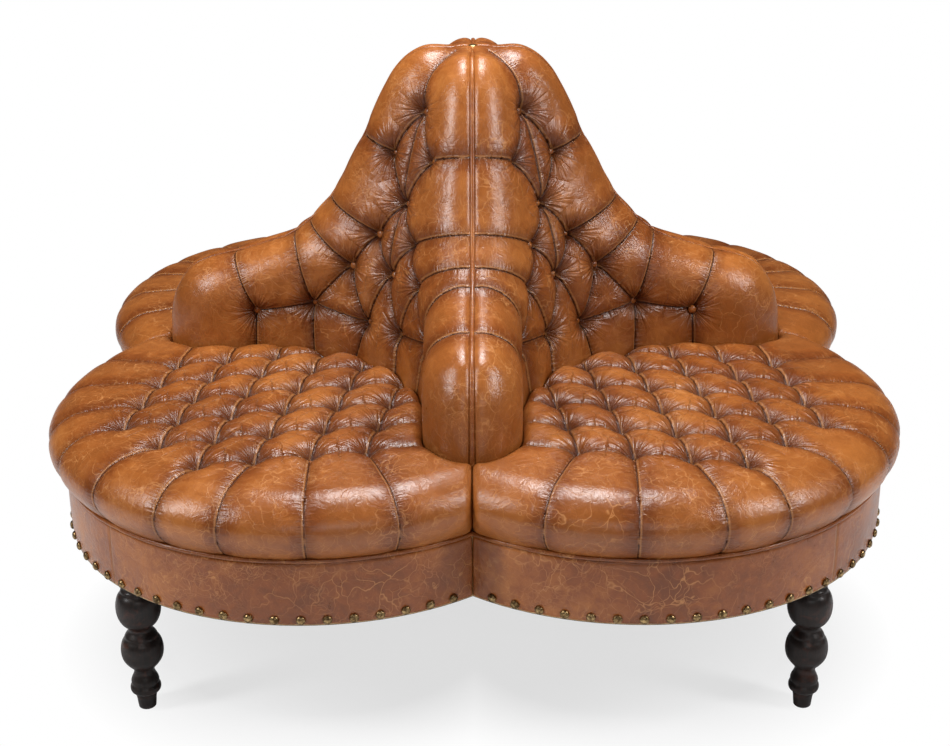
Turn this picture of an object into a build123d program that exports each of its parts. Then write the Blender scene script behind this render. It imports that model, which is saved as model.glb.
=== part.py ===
from build123d import *
import math
import os

os.makedirs("parts", exist_ok=True)

# Plan of the sofa: four round seats round a cross-shaped back
seat_spread = 281.0
seat_radius = 494.0
skirt_radius = 467.0

# Heights above the floor
leg_height = 261.0
skirt_height = 115.0
crown_height = 511.0
back_height = 1058.0

# Base boards, rails and posts
board_thickness = 18.0
rail_thickness = 45.0
rail_end_gap = 12.0
wall_thickness = 6.0
leather_thickness = 2.0
post_size = 45.0
post_inset = 50.0
post_swing = 65.0
leg_block_size = 80.0
leg_block_shift = 14.0
dust_cover_thickness = 0.8
deck_drop = 6.0

# Clearances
fit_gap = 0.2
soft_gap = 0.3
bolt_gap = 0.1
overrun = 5.0

# Legs
leg_inset = 41.3
bolt_radius = 4.0
bolt_in_leg = 45.0
bolt_in_block = 30.0
screw_radius = 2.5
screw_head_radius = 5.0
screw_head_height = 3.0
screw_length = 50.0

# Brass nails: the dome is rings of radius and height, as shares of the nail's radius and rise
nail_radius = 8.0
nail_rise = 4.5
nail_dome_shares = [(1.00, 0.00), (0.98, 0.20), (0.90, 0.48), (0.74, 0.74), (0.50, 0.92), (0.20, 1.00)]
nail_shank_side = 1.4
nail_hole_radius = 1.1
nail_shank_length = 7.0
nail_height = 10.0
nail_count = 30
nail_cusp_angle = 4.75
crown_nail_radius = 10.0
crown_nail_rise = 5.0

# Welt between seat and skirt
welt_radius = 3.8

# Seat cushions
pocket_radius = 400.0
pocket_rise = 70.0
strap_width = 50.0
strap_thickness = 1.5
strap_pitch = 78.0
strap_count = 3
strap_landing = 35.0
webbing_spread = 340.0
webbing_hole_radius = 165.0
seat_tuft_depth = 28.0
tuft_mouth_radius = 36.0
tuft_seat_gap = 1.0
tuft_lift = 2.0
lattice_start = 102.0
lattice_step = 93.0
lattice_skew = 15.0
lattice_count = 7
tuft_reach = 382.0
tuft_back_margin = 16.0

# Covered buttons, with a small flat at the tip of the dome
button_radius = 8.5
button_rise = 6.0
button_tip_radius = 1.0
button_turn_share = 0.75
button_height_share = 0.6

# Back
wing_length = 600.0
wing_half_thickness = 90.0
ridge_flat_half = 4.5
ridge_roll = 75.0
roll_angles = (0, 22.5, 45, 67.5, 90)
corner_sink = 1.0
back_tuft_depth = 26.0
back_mouth_radius = 30.0
panel_thickness = 18.0
panel_inset = 46.0
quarter_gap = 0.15
cleat_size = 30.0
cleat_gap = 0.2
cleat_start = 60.0
cleat_length = 380.0
corner_block_size = 34.0
corner_block_drop = 190.0
band_thickness = 2.5

# Levels worked out from the heights
bottom_board_top = leg_height + board_thickness
skirt_top = leg_height + skirt_height
deck_top = skirt_top - deck_drop
deck_bottom = deck_top - board_thickness
webbing_top = deck_top + 2 * strap_thickness
wall_outer_radius = skirt_radius - leather_thickness - fit_gap
wall_inner_radius = wall_outer_radius - wall_thickness
board_radius = wall_inner_radius - fit_gap
back_rise = back_height - deck_top
seat_rise = crown_height - deck_top
leg_centre = seat_spread + (skirt_radius - leg_inset) / math.sqrt(2)

# Leg profile from floor to top: radius as shares of the great ball's radius, height as shares of the leg
leg_ball_radius = 39.0
leg_profile_shares = [
    (0.64, 0.000), (0.77, 0.055), (0.62, 0.085), (0.60, 0.105),
    (0.69, 0.145), (0.60, 0.187), (0.49, 0.215), (0.49, 0.270),
    (0.66, 0.300), (0.94, 0.345), (0.97, 0.395), (0.80, 0.445), (0.66, 0.470),
    (0.53, 0.505), (0.53, 0.560), (0.70, 0.585), (0.97, 0.640), (1.00, 0.690),
    (0.84, 0.750), (0.70, 0.785), (0.80, 0.800), (0.80, 0.825), (0.66, 0.840),
    (0.68, 0.900), (0.86, 0.960), (0.92, 1.000),
]

# Seat section from foot to crown: shares of the seat's radius and of its rise above the deck
seat_section_shares = [
    (0.932, 0.040), (0.986, 0.235), (1.000, 0.458), (0.966, 0.740), (0.890, 0.852), (0.120, 1.000),
]

# Ridge of a wing from apex to nose: shares of the wing's length and of the back's rise
ridge_shares = [
    (0.000, 1.000), (0.155, 0.997), (0.243, 0.938), (0.297, 0.856),
    (0.365, 0.729), (0.447, 0.600), (0.539, 0.512), (0.603, 0.476),
    (0.762, 0.428), (0.919, 0.382), (0.989, 0.268), (1.000, 0.137),
]

# The ridge leaves the apex level and meets the nose upright, as fast as its points are spaced
ridge_ends = ((1, 0), (0, -1))
ridge_end_shares = (1, 1)

# Inside corner of the back: height as shares of the rise, radius as shares of the wing's length
corner_shares = [(0.000, 0.585), (0.420, 0.417), (0.565, 0.250), (0.725, 0.117), (0.870, 0.027)]

# Buttons on a wing's face: shares of the wing's length and of the back's rise
wing_button_shares = {
    "b": (0.263, 0.747), "e": (0.313, 0.529), "g": (0.400, 0.433),
    "i": (0.527, 0.311), "j": (0.707, 0.279), "k": (0.357, 0.285),
}

# Buttons in the inside corner: shares of the back's rise
corner_button_shares = {"a": 0.863, "d": 0.624, "h": 0.435}

# Quarters of the plan, each the rear right quarter turned about the upright axis
quarters = {"rear_right": 0, "rear_left": 90, "front_left": 180, "front_right": 270}
wings = {"right": 0, "rear": 90, "left": 180, "front": 270}
turns = list(quarters.values())
seat_axis = Axis((seat_spread, seat_spread, 0), (0, 0, 1))
seat_section_plane = Plane(origin=(seat_spread, seat_spread, 0), x_dir=(1, 0, 0), z_dir=(0, -1, 0))
diagonal_angle = 45
diagonal_plane = Plane(origin=(0, 0, 0), x_dir=(0, 0, 1), z_dir=(1, -1, 0))
stand = (Align.CENTER, Align.CENTER, Align.MIN)
hang = (Align.CENTER, Align.CENTER, Align.MAX)


def finish(piece, name):
    piece.part.label = name
    export_step(piece.part, f"parts/{name}.step")


def group(blank, angles):
    with BuildPart() as pieces:
        for angle in angles:
            add(blank.part, rotation=(0, 0, angle))
    return pieces


def finish_turned(blank, name, places):
    for place, angle in places.items():
        finish(group(blank, [angle]), f"{name}_{place}")


def difference(body, *cutters):
    with BuildPart() as rest:
        add(body.part)
        for cutter in cutters:
            add(cutter.part, mode=Mode.SUBTRACT)
    return rest


def interpolate(table, where):
    for (low, first), (high, last) in zip(table, table[1:]):
        if low <= where <= high:
            return first + (last - first) * (where - low) / (high - low)
    return table[-1][1]


def lobe_point(radius, angle):
    turn = math.radians(angle)
    return seat_spread + radius * math.cos(turn), seat_spread + radius * math.sin(turn)


# The quarter of the plan that holds the rear right seat, as a cutting block
def quarter_block(gap):
    reach = seat_spread + seat_radius + overrun
    with BuildPart() as block:
        with Locations((gap, gap, 0)):
            Box(reach, reach, back_height + overrun, align=(Align.MIN, Align.MIN, Align.MIN))
    return block


def in_quarter(body, gap):
    block = quarter_block(gap)
    with BuildPart() as piece:
        add(body.part)
        add(block.part, mode=Mode.INTERSECT)
    return piece


# A board in the four-lobed outline of the base
def lobed_board(low, thickness, radius):
    with BuildPart() as board:
        with BuildSketch(Plane.XY.offset(low)):
            for x_side in (-1, 1):
                for y_side in (-1, 1):
                    with Locations((x_side * seat_spread, y_side * seat_spread)):
                        Circle(radius)
        extrude(amount=thickness)
    return board


def upright_rods(points, radius, low, height):
    with BuildPart() as rods:
        with BuildSketch(Plane.XY.offset(low)):
            with Locations(*points):
                Circle(radius)
        extrude(amount=height)
    return rods


# Places under each lobe
leg_points = [(leg_centre, leg_centre)]
block_centre = leg_centre - leg_block_shift / math.sqrt(2)
post_angles = [diagonal_angle - post_swing, diagonal_angle + post_swing]
post_points = [lobe_point(board_radius - post_inset, angle) for angle in post_angles]
screw_points = post_points + [lobe_point(board_radius - leg_inset - leg_block_size / 2, diagonal_angle)]
leg_hole_low = leg_height - bolt_in_leg - bolt_gap
leg_hole_length = bolt_in_leg + board_thickness + bolt_in_block + 2 * bolt_gap
leg_holes = upright_rods(leg_points, bolt_radius + bolt_gap, leg_hole_low, leg_hole_length)
screw_low = deck_top - screw_length
screw_holes = upright_rods(screw_points, screw_radius + bolt_gap, screw_low - bolt_gap, 2 * screw_length)


# Base boards, with holes for the bolts, the screws and the webbing
bottom_blank = lobed_board(leg_height, board_thickness, board_radius)
finish(difference(bottom_blank, group(leg_holes, turns)), "base_bottom_board")

with BuildPart() as screw_sinks:
    for x, y in screw_points:
        with Locations((x, y, deck_top)):
            Cylinder(screw_head_radius + bolt_gap, 2 * (screw_head_height + bolt_gap))

webbing_points = [(webbing_spread, webbing_spread)]
webbing_hole = upright_rods(webbing_points, webbing_hole_radius, deck_bottom - overrun,
                            board_thickness + 2 * overrun)
top_blank = lobed_board(deck_bottom, board_thickness, board_radius)
deck_cuts = [group(webbing_hole, turns), group(screw_holes, turns), group(screw_sinks, turns)]
finish(difference(top_blank, *deck_cuts), "base_top_board")


# Cross rails, half-lapped where they cross
rail_height = deck_bottom - bottom_board_top
rail_middle = bottom_board_top + rail_height / 2
rail_reach = seat_spread + math.sqrt(wall_inner_radius**2 - seat_spread**2) - rail_end_gap
lap_width = rail_thickness + 2 * fit_gap
lap_depth = rail_height / 2 + overrun

with BuildPart() as rail_x:
    with Locations((0, 0, bottom_board_top)):
        Box(2 * rail_reach, rail_thickness, rail_height, align=stand)
    with Locations((0, 0, rail_middle)):
        Box(lap_width, lap_width, lap_depth, align=stand, mode=Mode.SUBTRACT)
finish(rail_x, "rail_x")

with BuildPart() as rail_y:
    with Locations((0, 0, bottom_board_top)):
        Box(rail_thickness, 2 * rail_reach, rail_height, align=stand)
    with Locations((0, 0, rail_middle)):
        Box(lap_width, lap_width, lap_depth, align=hang, mode=Mode.SUBTRACT)
finish(rail_y, "rail_y")


# Posts and leg blocks between the two boards
with BuildPart() as posts:
    with BuildSketch(Plane.XY.offset(bottom_board_top)):
        with Locations(*post_points):
            Rectangle(post_size, post_size)
    extrude(amount=rail_height)
finish(group(difference(posts, screw_holes), turns), "base_posts")

with BuildPart() as leg_block:
    with BuildSketch(Plane.XY.offset(bottom_board_top)):
        with Locations((block_centre, block_centre)):
            Rectangle(leg_block_size, leg_block_size, rotation=diagonal_angle)
    extrude(amount=rail_height)
finish(group(difference(leg_block, screw_holes, leg_holes), turns), "leg_blocks")

with BuildPart() as screws:
    for x, y in screw_points:
        with Locations((x, y, deck_top)):
            Cone(screw_radius, screw_head_radius, screw_head_height, align=hang)
        with Locations((x, y, deck_top - screw_head_height)):
            Cylinder(screw_radius, screw_length - screw_head_height, align=hang)
finish(group(screws, turns), "deck_screws")

bolts = upright_rods(leg_points, bolt_radius, leg_height - bolt_in_leg,
                     bolt_in_leg + board_thickness + bolt_in_block)
finish(group(bolts, turns), "hanger_bolts")


# Curved strip round one lobe, from cusp to cusp
def lobe_strip(outer, thickness, low, high):
    with BuildPart() as ring:
        with BuildSketch(Plane.XY.offset(low)):
            with Locations((seat_spread, seat_spread)):
                Circle(outer)
                Circle(outer - thickness, mode=Mode.SUBTRACT)
        extrude(amount=high - low)
    return in_quarter(ring, quarter_gap)


# Brass nails along the foot of the skirt
def nail(radius, rise):
    with BuildPart() as piece:
        with BuildSketch(Plane.XZ):
            with BuildLine():
                dome = [(radius * r, rise * z) for r, z in nail_dome_shares]
                Polyline(*dome, (0, rise), (0, 0), dome[0])
            make_face()
        revolve(axis=Axis.Z)
        Box(nail_shank_side, nail_shank_side, nail_shank_length, align=hang)
    return piece


cusp_angle = diagonal_angle + math.degrees(math.asin(seat_spread / skirt_radius))
nail_swing = cusp_angle - nail_cusp_angle
nail_planes = []
for step in range(nail_count):
    angle = diagonal_angle + nail_swing * (2 * step / (nail_count - 1) - 1)
    x, y = lobe_point(skirt_radius + bolt_gap, angle)
    outward = (math.cos(math.radians(angle)), math.sin(math.radians(angle)), 0)
    nail_planes.append(Plane(origin=(x, y, leg_height + nail_height), z_dir=outward))

nail_blank = nail(nail_radius, nail_rise)
with BuildPart() as nails:
    with Locations(*nail_planes):
        add(nail_blank.part)

with BuildPart() as nail_holes:
    with Locations(*nail_planes):
        Cylinder(nail_hole_radius, 2 * (nail_shank_length + bolt_gap))

walls = lobe_strip(wall_outer_radius, wall_thickness, leg_height, skirt_top - leather_thickness)
skirt = lobe_strip(skirt_radius, leather_thickness, leg_height, skirt_top)
finish(group(difference(walls, nail_holes), turns), "base_walls")
finish_turned(difference(skirt, nail_holes), "skirt", quarters)
finish_turned(nails, "nailheads", quarters)


# Black cloth under the base
cover_low = leg_height - dust_cover_thickness
cover_blank = lobed_board(cover_low, dust_cover_thickness, wall_outer_radius)
cover_holes = upright_rods(leg_points, leg_ball_radius, cover_low, dust_cover_thickness)
finish(difference(cover_blank, group(cover_holes, turns)), "dust_cover")


# Welt round each lobe
def welt_body(radius):
    with BuildPart() as ring:
        with BuildSketch(seat_section_plane):
            with Locations((skirt_radius, skirt_top + welt_radius + fit_gap)):
                Circle(radius)
        revolve(axis=seat_axis)
    return ring


finish_turned(in_quarter(welt_body(welt_radius), quarter_gap), "welt", quarters)


# Turned legs
with BuildPart() as leg:
    with BuildSketch(Plane(origin=(leg_centre, leg_centre, 0), x_dir=(1, 0, 0), z_dir=(0, -1, 0))):
        with BuildLine():
            points = [(leg_ball_radius * r, leg_height * z) for r, z in leg_profile_shares]
            Polyline(*points)
            Polyline(points[-1], (0, leg_height), (0, 0), points[0])
        make_face()
    revolve(axis=Axis((leg_centre, leg_centre, 0), (0, 0, 1)))
finish_turned(difference(leg, leg_holes), "leg", quarters)


# A wing of the back in its own plane, drawn in by a share of the ridge roll
def wing_point(length_share, rise_share, drawn_in, grow):
    length = wing_length + grow - ridge_roll * drawn_in
    rise = back_rise + grow - ridge_roll * drawn_in
    return length * length_share, deck_top + rise * rise_share


def wing_plane(y):
    return Plane(origin=(0, y, 0), x_dir=(1, 0, 0), z_dir=(0, -1, 0))


def wing_sketch(y, drawn_in, grow):
    points = [wing_point(s, z, drawn_in, grow) for s, z in ridge_shares]
    nose_foot = (points[-1][0], deck_top)
    with BuildSketch(wing_plane(y)) as face:
        with BuildLine():
            Spline(*points, tangents=ridge_ends, tangent_scalars=ridge_end_shares)
            Polyline(points[-1], nose_foot, (0, deck_top), points[0])
        make_face()
    return face.sketch


def corner_radius(z):
    return wing_length * interpolate(corner_shares, (z - deck_top) / back_rise)


# One side of a wing, rolled over from its face to the flat of the ridge
def half_wing(grow):
    thickness = wing_half_thickness + grow
    faces = []
    for angle in roll_angles:
        turn = math.radians(angle)
        y = ridge_flat_half + (thickness - ridge_flat_half) * math.sin(turn)
        faces.append(wing_sketch(y, 1 - math.cos(turn), grow))
    ridge_face = wing_sketch(ridge_flat_half, 0, grow)
    with BuildPart() as piece:
        loft(faces)
        extrude(ridge_face, amount=ridge_flat_half)
    return piece


# The filled corner between two wings, hollowed to lean the sitter back, its edges just under their faces
def corner_fill(grow):
    thickness = wing_half_thickness - corner_sink + grow
    with BuildPart() as piece:
        for rise_share, radius_share in corner_shares:
            radius = wing_length * radius_share - grow
            far = thickness + radius
            middle = far - radius / math.sqrt(2)
            with BuildSketch(Plane.XY.offset(deck_top + back_rise * rise_share)):
                with BuildLine():
                    Polyline((thickness, far), (0, far), (0, 0), (far, 0), (far, thickness))
                    ThreePointArc((far, thickness), (middle, middle), (thickness, far))
                make_face()
        loft(ruled=True)
    return piece


# The eighth of the plan beside a wing's face, from the axis out to the diagonal
def wing_wedge():
    reach = 2 * wing_length
    with BuildPart() as wedge:
        with BuildSketch(Plane.XY.offset(deck_top - overrun)):
            Polygon((0, 0), (reach, 0), (reach, reach), align=None)
        extrude(amount=reach)
    return wedge


def wings_and_corner(grow):
    wing = half_wing(grow)
    with BuildPart() as other_wing:
        add(mirror(wing.part, about=diagonal_plane))
    return [wing, other_wing, corner_fill(grow)]


# A back cushion up to the diagonal, cut for the frame inside it, then mirrored about the diagonal
def back_body(rooms):
    wing = half_wing(0)
    corner = corner_fill(0)
    wedge = wing_wedge()
    with BuildPart() as half:
        add(wing.part)
        add(corner.part)
        add(wedge.part, mode=Mode.INTERSECT)
    hollow_half = difference(half, *rooms)
    with BuildPart() as body:
        add(hollow_half.part)
        mirror(about=diagonal_plane)
    return body


# Panels of the back, cross-halved into each other
def panel_body(gap):
    thickness = panel_thickness + 2 * gap
    face = wing_sketch(thickness / 2, (panel_inset - gap) / ridge_roll, 0)
    with BuildPart() as panel:
        extrude(face, amount=thickness)
        mirror(about=Plane.YZ)
    return panel


panel_middle = deck_top + back_rise / 2
slot_width = panel_thickness + 2 * fit_gap
with BuildPart() as upper_slot:
    with Locations((0, 0, panel_middle)):
        Box(slot_width, slot_width, back_rise, align=stand)
with BuildPart() as lower_slot:
    with Locations((0, 0, panel_middle)):
        Box(slot_width, slot_width, back_rise, align=hang)

plain_panel = panel_body(0)
finish(difference(plain_panel, upper_slot), "back_panel_x")
finish(difference(group(plain_panel, [90]), lower_slot), "back_panel_y")


# Cleats at the foot of the panels and posts in their corners
def cleats(gap):
    start = panel_thickness / 2 + cleat_gap - gap
    size = cleat_size + 2 * gap
    with BuildPart() as piece:
        with Locations((cleat_start - gap, start, deck_top)):
            Box(cleat_length + 2 * gap, size, size - gap, align=(Align.MIN, Align.MIN, Align.MIN))
        mirror(about=diagonal_plane)
    return piece


def corner_post(gap):
    start = panel_thickness / 2 + cleat_gap - gap
    size = corner_block_size + 2 * gap
    height = back_rise - corner_block_drop + gap
    with BuildPart() as piece:
        with Locations((start, start, deck_top)):
            Box(size, size, height, align=(Align.MIN, Align.MIN, Align.MIN))
    return piece


finish(group(cleats(0), turns), "back_cleats")
finish(group(corner_post(0), turns), "back_corner_posts")


# A covered button, standing on the floor of its tuft
def covered_button():
    with BuildPart() as piece:
        with BuildSketch(Plane.XZ):
            with BuildLine():
                turn_point = (button_radius * button_turn_share, button_rise * button_height_share)
                dome = ThreePointArc((button_radius, 0), turn_point, (button_tip_radius, button_rise))
                Polyline(dome @ 1, (0, button_rise), (0, 0), (button_radius, 0))
            make_face()
        revolve(axis=Axis.Z)
    return piece


button_blank = covered_button()


# A tuft is its point on the surface and the way the surface faces there
def tuft_planes(tufts, depth):
    return [Plane(origin=point - facing * depth, z_dir=facing) for point, facing in tufts]


def buttons_at(tufts, depth):
    with BuildPart() as buttons:
        with Locations(*tuft_planes(tufts, depth)):
            add(button_blank.part)
    return buttons


def dimples_at(tufts, depth, mouth_radius):
    with BuildPart() as dimple:
        Cone(button_radius + tuft_seat_gap, mouth_radius, depth + tuft_lift, align=stand)
    return [dimple.part.moved(place.location) for place in tuft_planes(tufts, depth)]


# Sew one cut after another into a cushion
def tufted(body, cuts):
    with BuildPart() as cushion:
        add(body.part)
        for cut in cuts:
            add(cut, mode=Mode.SUBTRACT)
    return cushion


# The cuts can leave crumbs at an edge: the cushion is the one large solid
def whole_piece(body):
    with BuildPart() as piece:
        add(body.part.solids().sort_by(SortBy.VOLUME)[-1])
    return piece


# Seat section, and the height of its crown at a distance from the seat's centre
seat_points = [(seat_radius * r, deck_top + seat_rise * z) for r, z in seat_section_shares]
shoulder_point = seat_points[4]
crown_point = seat_points[5]


def seat_surface(x, y):
    reach = math.hypot(x - seat_spread, y - seat_spread)
    run = shoulder_point[0] - crown_point[0]
    fall = (crown_point[1] - shoulder_point[1]) / run
    return Vector(x, y, crown_point[1] - fall * (reach - crown_point[0])), Vector(0, 0, 1)


def clear_of_back(x, y):
    far = wing_half_thickness + corner_radius(crown_height)
    if x < far and y < far:
        return far - wing_half_thickness - math.hypot(far - x, far - y)
    return min(x, y) - wing_half_thickness


# Diamond lattice of the seat's buttons, longer towards the sitter
seat_lattice = {}
for i in range(lattice_count):
    for j in range(lattice_count):
        x = lattice_start + lattice_step * i + lattice_skew * j
        y = lattice_start + lattice_step * j + lattice_skew * i
        reach = math.hypot(x - seat_spread, y - seat_spread)
        if reach < tuft_reach and clear_of_back(x, y) > tuft_back_margin:
            seat_lattice[(i, j)] = (x, y)

seat_tufts = {key: seat_surface(x, y) for key, (x, y) in seat_lattice.items()}


# Seat cushions: crowned, drawn in at the foot and tufted
with BuildPart() as seat_round:
    with BuildSketch(seat_section_plane):
        with BuildLine():
            ThreePointArc(*seat_points[0:3])
            ThreePointArc(*seat_points[2:5])
            Polyline(shoulder_point, crown_point, (0, crown_height))
            Polyline((0, crown_height), (0, deck_top), (seat_points[0][0], deck_top), seat_points[0])
        make_face()
    revolve(axis=seat_axis)


# The stitched band on the ridge of a wing
def band_body(grow, half_width):
    outer = [wing_point(s, z, 0, band_thickness + grow) for s, z in ridge_shares]
    inner = [wing_point(s, z, 0, fit_gap - grow) for s, z in ridge_shares]
    outer_foot = (outer[-1][0], deck_top)
    inner_foot = (inner[-1][0], deck_top)
    with BuildPart() as band:
        with BuildSketch(wing_plane(half_width)):
            with BuildLine():
                Spline(*outer, tangents=ridge_ends, tangent_scalars=ridge_end_shares)
                Polyline(outer[-1], outer_foot, inner_foot, inner[-1])
                Spline(*inner, tangents=ridge_ends, tangent_scalars=ridge_end_shares)
                Line(inner[0], outer[0])
            make_face()
        extrude(amount=2 * half_width)
        with Locations((0, 0, back_height)):
            Cylinder(crown_nail_radius + fit_gap, 2 * band_thickness + overrun, mode=Mode.SUBTRACT)
    return band


seat_pocket = upright_rods([(seat_spread, seat_spread)], pocket_radius, deck_top - overrun,
                           pocket_rise + overrun)
foam_round = upright_rods([(seat_spread, seat_spread)], pocket_radius - soft_gap, webbing_top,
                          deck_top + pocket_rise - soft_gap - webbing_top)
back_rooms = wings_and_corner(soft_gap)
band_room = band_body(soft_gap, ridge_flat_half + soft_gap)
back_rooms += [group(band_room, [0]), group(band_room, [90])]
welt_room = welt_body(welt_radius + soft_gap)
seat_foam = in_quarter(difference(foam_round, *back_rooms), quarter_gap)
finish_turned(whole_piece(seat_foam), "seat_foam", quarters)

seat_dimples = dimples_at(list(seat_tufts.values()), seat_tuft_depth, tuft_mouth_radius)
seat_sewn = tufted(seat_round, seat_dimples)
seat_pad = in_quarter(difference(seat_sewn, seat_pocket, welt_room, *back_rooms), quarter_gap)
finish_turned(whole_piece(seat_pad), "seat_pad", quarters)
finish_turned(buttons_at(list(seat_tufts.values()), seat_tuft_depth), "seat_buttons", quarters)


# Crossed webbing over the hole in the deck
strap_length = 2 * (webbing_hole_radius + strap_landing)
with BuildPart() as webbing:
    for step in range(strap_count):
        shift = strap_pitch * (step - (strap_count - 1) / 2)
        with Locations((webbing_spread, webbing_spread + shift, deck_top)):
            Box(strap_length, strap_width, strap_thickness, align=stand)
        with Locations((webbing_spread + shift, webbing_spread, deck_top + strap_thickness)):
            Box(strap_width, strap_length, strap_thickness, align=stand)
finish(group(webbing, turns), "seat_webbing")


# Back cushions: two rolled half wings and a hollowed corner, tufted
def wing_tuft(length_share, rise_share):
    x = wing_length * length_share
    z = deck_top + back_rise * rise_share
    radius = corner_radius(z)
    far = wing_half_thickness + radius
    if x >= far:
        return Vector(x, wing_half_thickness, z), Vector(0, 1, 0)
    y = far - math.sqrt(radius**2 - (far - x)**2)
    return Vector(x, y, z), Vector(far - x, far - y, 0).normalized()


def corner_tuft(rise_share):
    z = deck_top + back_rise * rise_share
    radius = corner_radius(z)
    middle = wing_half_thickness + radius * (1 - math.sqrt(0.5))
    return Vector(middle, middle, z), Vector(1, 1, 0).normalized()


def swapped(tuft):
    point, facing = tuft
    return Vector(point.Y, point.X, point.Z), Vector(facing.Y, facing.X, facing.Z)


wing_tufts = {name: wing_tuft(s, z) for name, (s, z) in wing_button_shares.items()}
corner_tufts = {name: corner_tuft(z) for name, z in corner_button_shares.items()}

back_tufts = list(wing_tufts.values()) + [swapped(t) for t in wing_tufts.values()]
back_tufts += list(corner_tufts.values())
finish_turned(buttons_at(back_tufts, back_tuft_depth), "back_buttons", quarters)

back_blank = back_body([panel_body(soft_gap), cleats(soft_gap), corner_post(soft_gap)])
back_dimples = dimples_at(back_tufts, back_tuft_depth, back_mouth_radius)
back_pad = in_quarter(tufted(back_blank, back_dimples), quarter_gap)
finish_turned(whole_piece(back_pad), "back_pad", quarters)


# Ridge bands and the nail that holds their crossing
plain_band = band_body(0, ridge_flat_half)
finish_turned(plain_band, "ridge_band", wings)

crown_blank = nail(crown_nail_radius, crown_nail_rise)
with BuildPart() as crown_nail:
    with Locations((0, 0, back_height + fit_gap)):
        add(crown_blank.part)
finish(crown_nail, "crown_nail")
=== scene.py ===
# %% [markdown]
# A round tufted lobby sofa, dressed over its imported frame. The frame holds the boards, legs and
# plain cushions at their real size; this file gives every surface the look it has in the photograph.
# All lengths are metres, +Z is up, and the viewer of the photograph stands on the -Y side.

# %% Imports and the frame
import math
import bpy
import numpy as np
from mathutils import Matrix, Vector


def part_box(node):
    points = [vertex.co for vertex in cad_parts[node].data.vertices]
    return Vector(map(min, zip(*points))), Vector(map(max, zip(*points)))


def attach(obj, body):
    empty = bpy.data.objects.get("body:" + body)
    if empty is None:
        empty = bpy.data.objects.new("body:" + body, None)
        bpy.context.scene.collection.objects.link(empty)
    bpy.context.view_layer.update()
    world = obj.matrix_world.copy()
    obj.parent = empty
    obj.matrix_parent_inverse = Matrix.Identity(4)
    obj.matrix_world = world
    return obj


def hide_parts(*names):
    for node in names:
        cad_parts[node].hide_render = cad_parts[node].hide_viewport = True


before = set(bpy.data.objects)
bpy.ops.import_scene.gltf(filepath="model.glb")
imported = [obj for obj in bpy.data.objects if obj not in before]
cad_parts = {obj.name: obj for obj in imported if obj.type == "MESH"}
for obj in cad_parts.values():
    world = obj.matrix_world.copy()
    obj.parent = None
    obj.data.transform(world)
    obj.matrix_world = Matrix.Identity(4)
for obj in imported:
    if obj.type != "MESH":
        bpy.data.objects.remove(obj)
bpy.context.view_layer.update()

# %% [markdown]
# The sofa is the same in all four quarters of its plan. Every piece is worked out once, for the
# quarter with x and y both positive, and turned about the upright axis by quarter turns. Most sizes
# come from the frame's own boxes; the seat's radius and the apex are written here.

# %% Sizes read from the frame
QUARTERS = {"rear_right": 0, "rear_left": 90, "front_left": 180, "front_right": 270}
WINGS = {"right": 0, "rear": 90, "left": 180, "front": 270}
pad_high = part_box("seat_pad_rear_right")[1]
back_low, back_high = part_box("back_pad_rear_right")
skirt_low, skirt_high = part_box("skirt_rear_right")
leg_low, leg_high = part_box("leg_rear_right")

DECK_TOP = back_low.z
CROWN_TOP = pad_high.z
BACK_TOP = 1.058
WING_LENGTH = back_high.y
SEAT_RADIUS = 0.494
SEAT_SPREAD = pad_high.x - SEAT_RADIUS
SKIRT_RADIUS = skirt_high.x - SEAT_SPREAD
LEG_SPREAD = (leg_low.x + leg_high.x) / 2
print("seat centre", round(SEAT_SPREAD, 4), "skirt radius", round(SKIRT_RADIUS, 4))


# %% [markdown]
# A finished piece must sit at the origin with its place in its mesh. This helper puts arrays of points
# and faces into a mesh in one call each and shades it smooth; finish_piece hangs it on the sofa's one
# body.
# Most pieces are tubes of some kind: rings of points, one after another, with a cap on each end.

# %% Mesh helpers
def make_mesh(name, points, faces, material, smooth=True, attributes=None):
    """One mesh object from an (n, 3) array of points and a list or array of faces."""
    mesh = bpy.data.meshes.new(name)
    mesh.from_pydata(points.tolist(), [], faces if isinstance(faces, list) else faces.tolist())
    for key, values in (attributes or {}).items():
        kind = "FLOAT" if values.ndim == 1 else "FLOAT_VECTOR"
        layer = mesh.attributes.new(key, kind, "POINT")
        layer.data.foreach_set("value" if kind == "FLOAT" else "vector", values.astype(np.float32).ravel())
    mesh.polygons.foreach_set("use_smooth", np.full(len(mesh.polygons), smooth))
    mesh.update()
    piece = bpy.data.objects.new(name, mesh)
    bpy.context.scene.collection.objects.link(piece)
    mesh.materials.append(material)
    return piece


def turn_points(points, degrees):
    """Turns points about the upright axis: x' = x cos - y sin, y' = x sin + y cos."""
    angle = math.radians(degrees)
    c, s = math.cos(angle), math.sin(angle)
    return points @ np.array([[c, -s, 0], [s, c, 0], [0, 0, 1]]).T


def finish_piece(piece, node):
    """Hangs the piece on the sofa and stands it in for the frame's node."""
    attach(piece, "root")
    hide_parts(node)


def all_round(title, node, slot, points, faces, material, marks=None, turns=QUARTERS):
    """The same mesh turned to each quarter or wing, each one named after its place."""
    pieces = []
    for place, degrees in turns.items():
        name = f"{title}_{place}"
        pieces.append(make_mesh(name, turn_points(points, degrees), faces, material, attributes=marks))
        finish_piece(pieces[-1], f"{node}_{place}")
    return pieces


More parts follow.
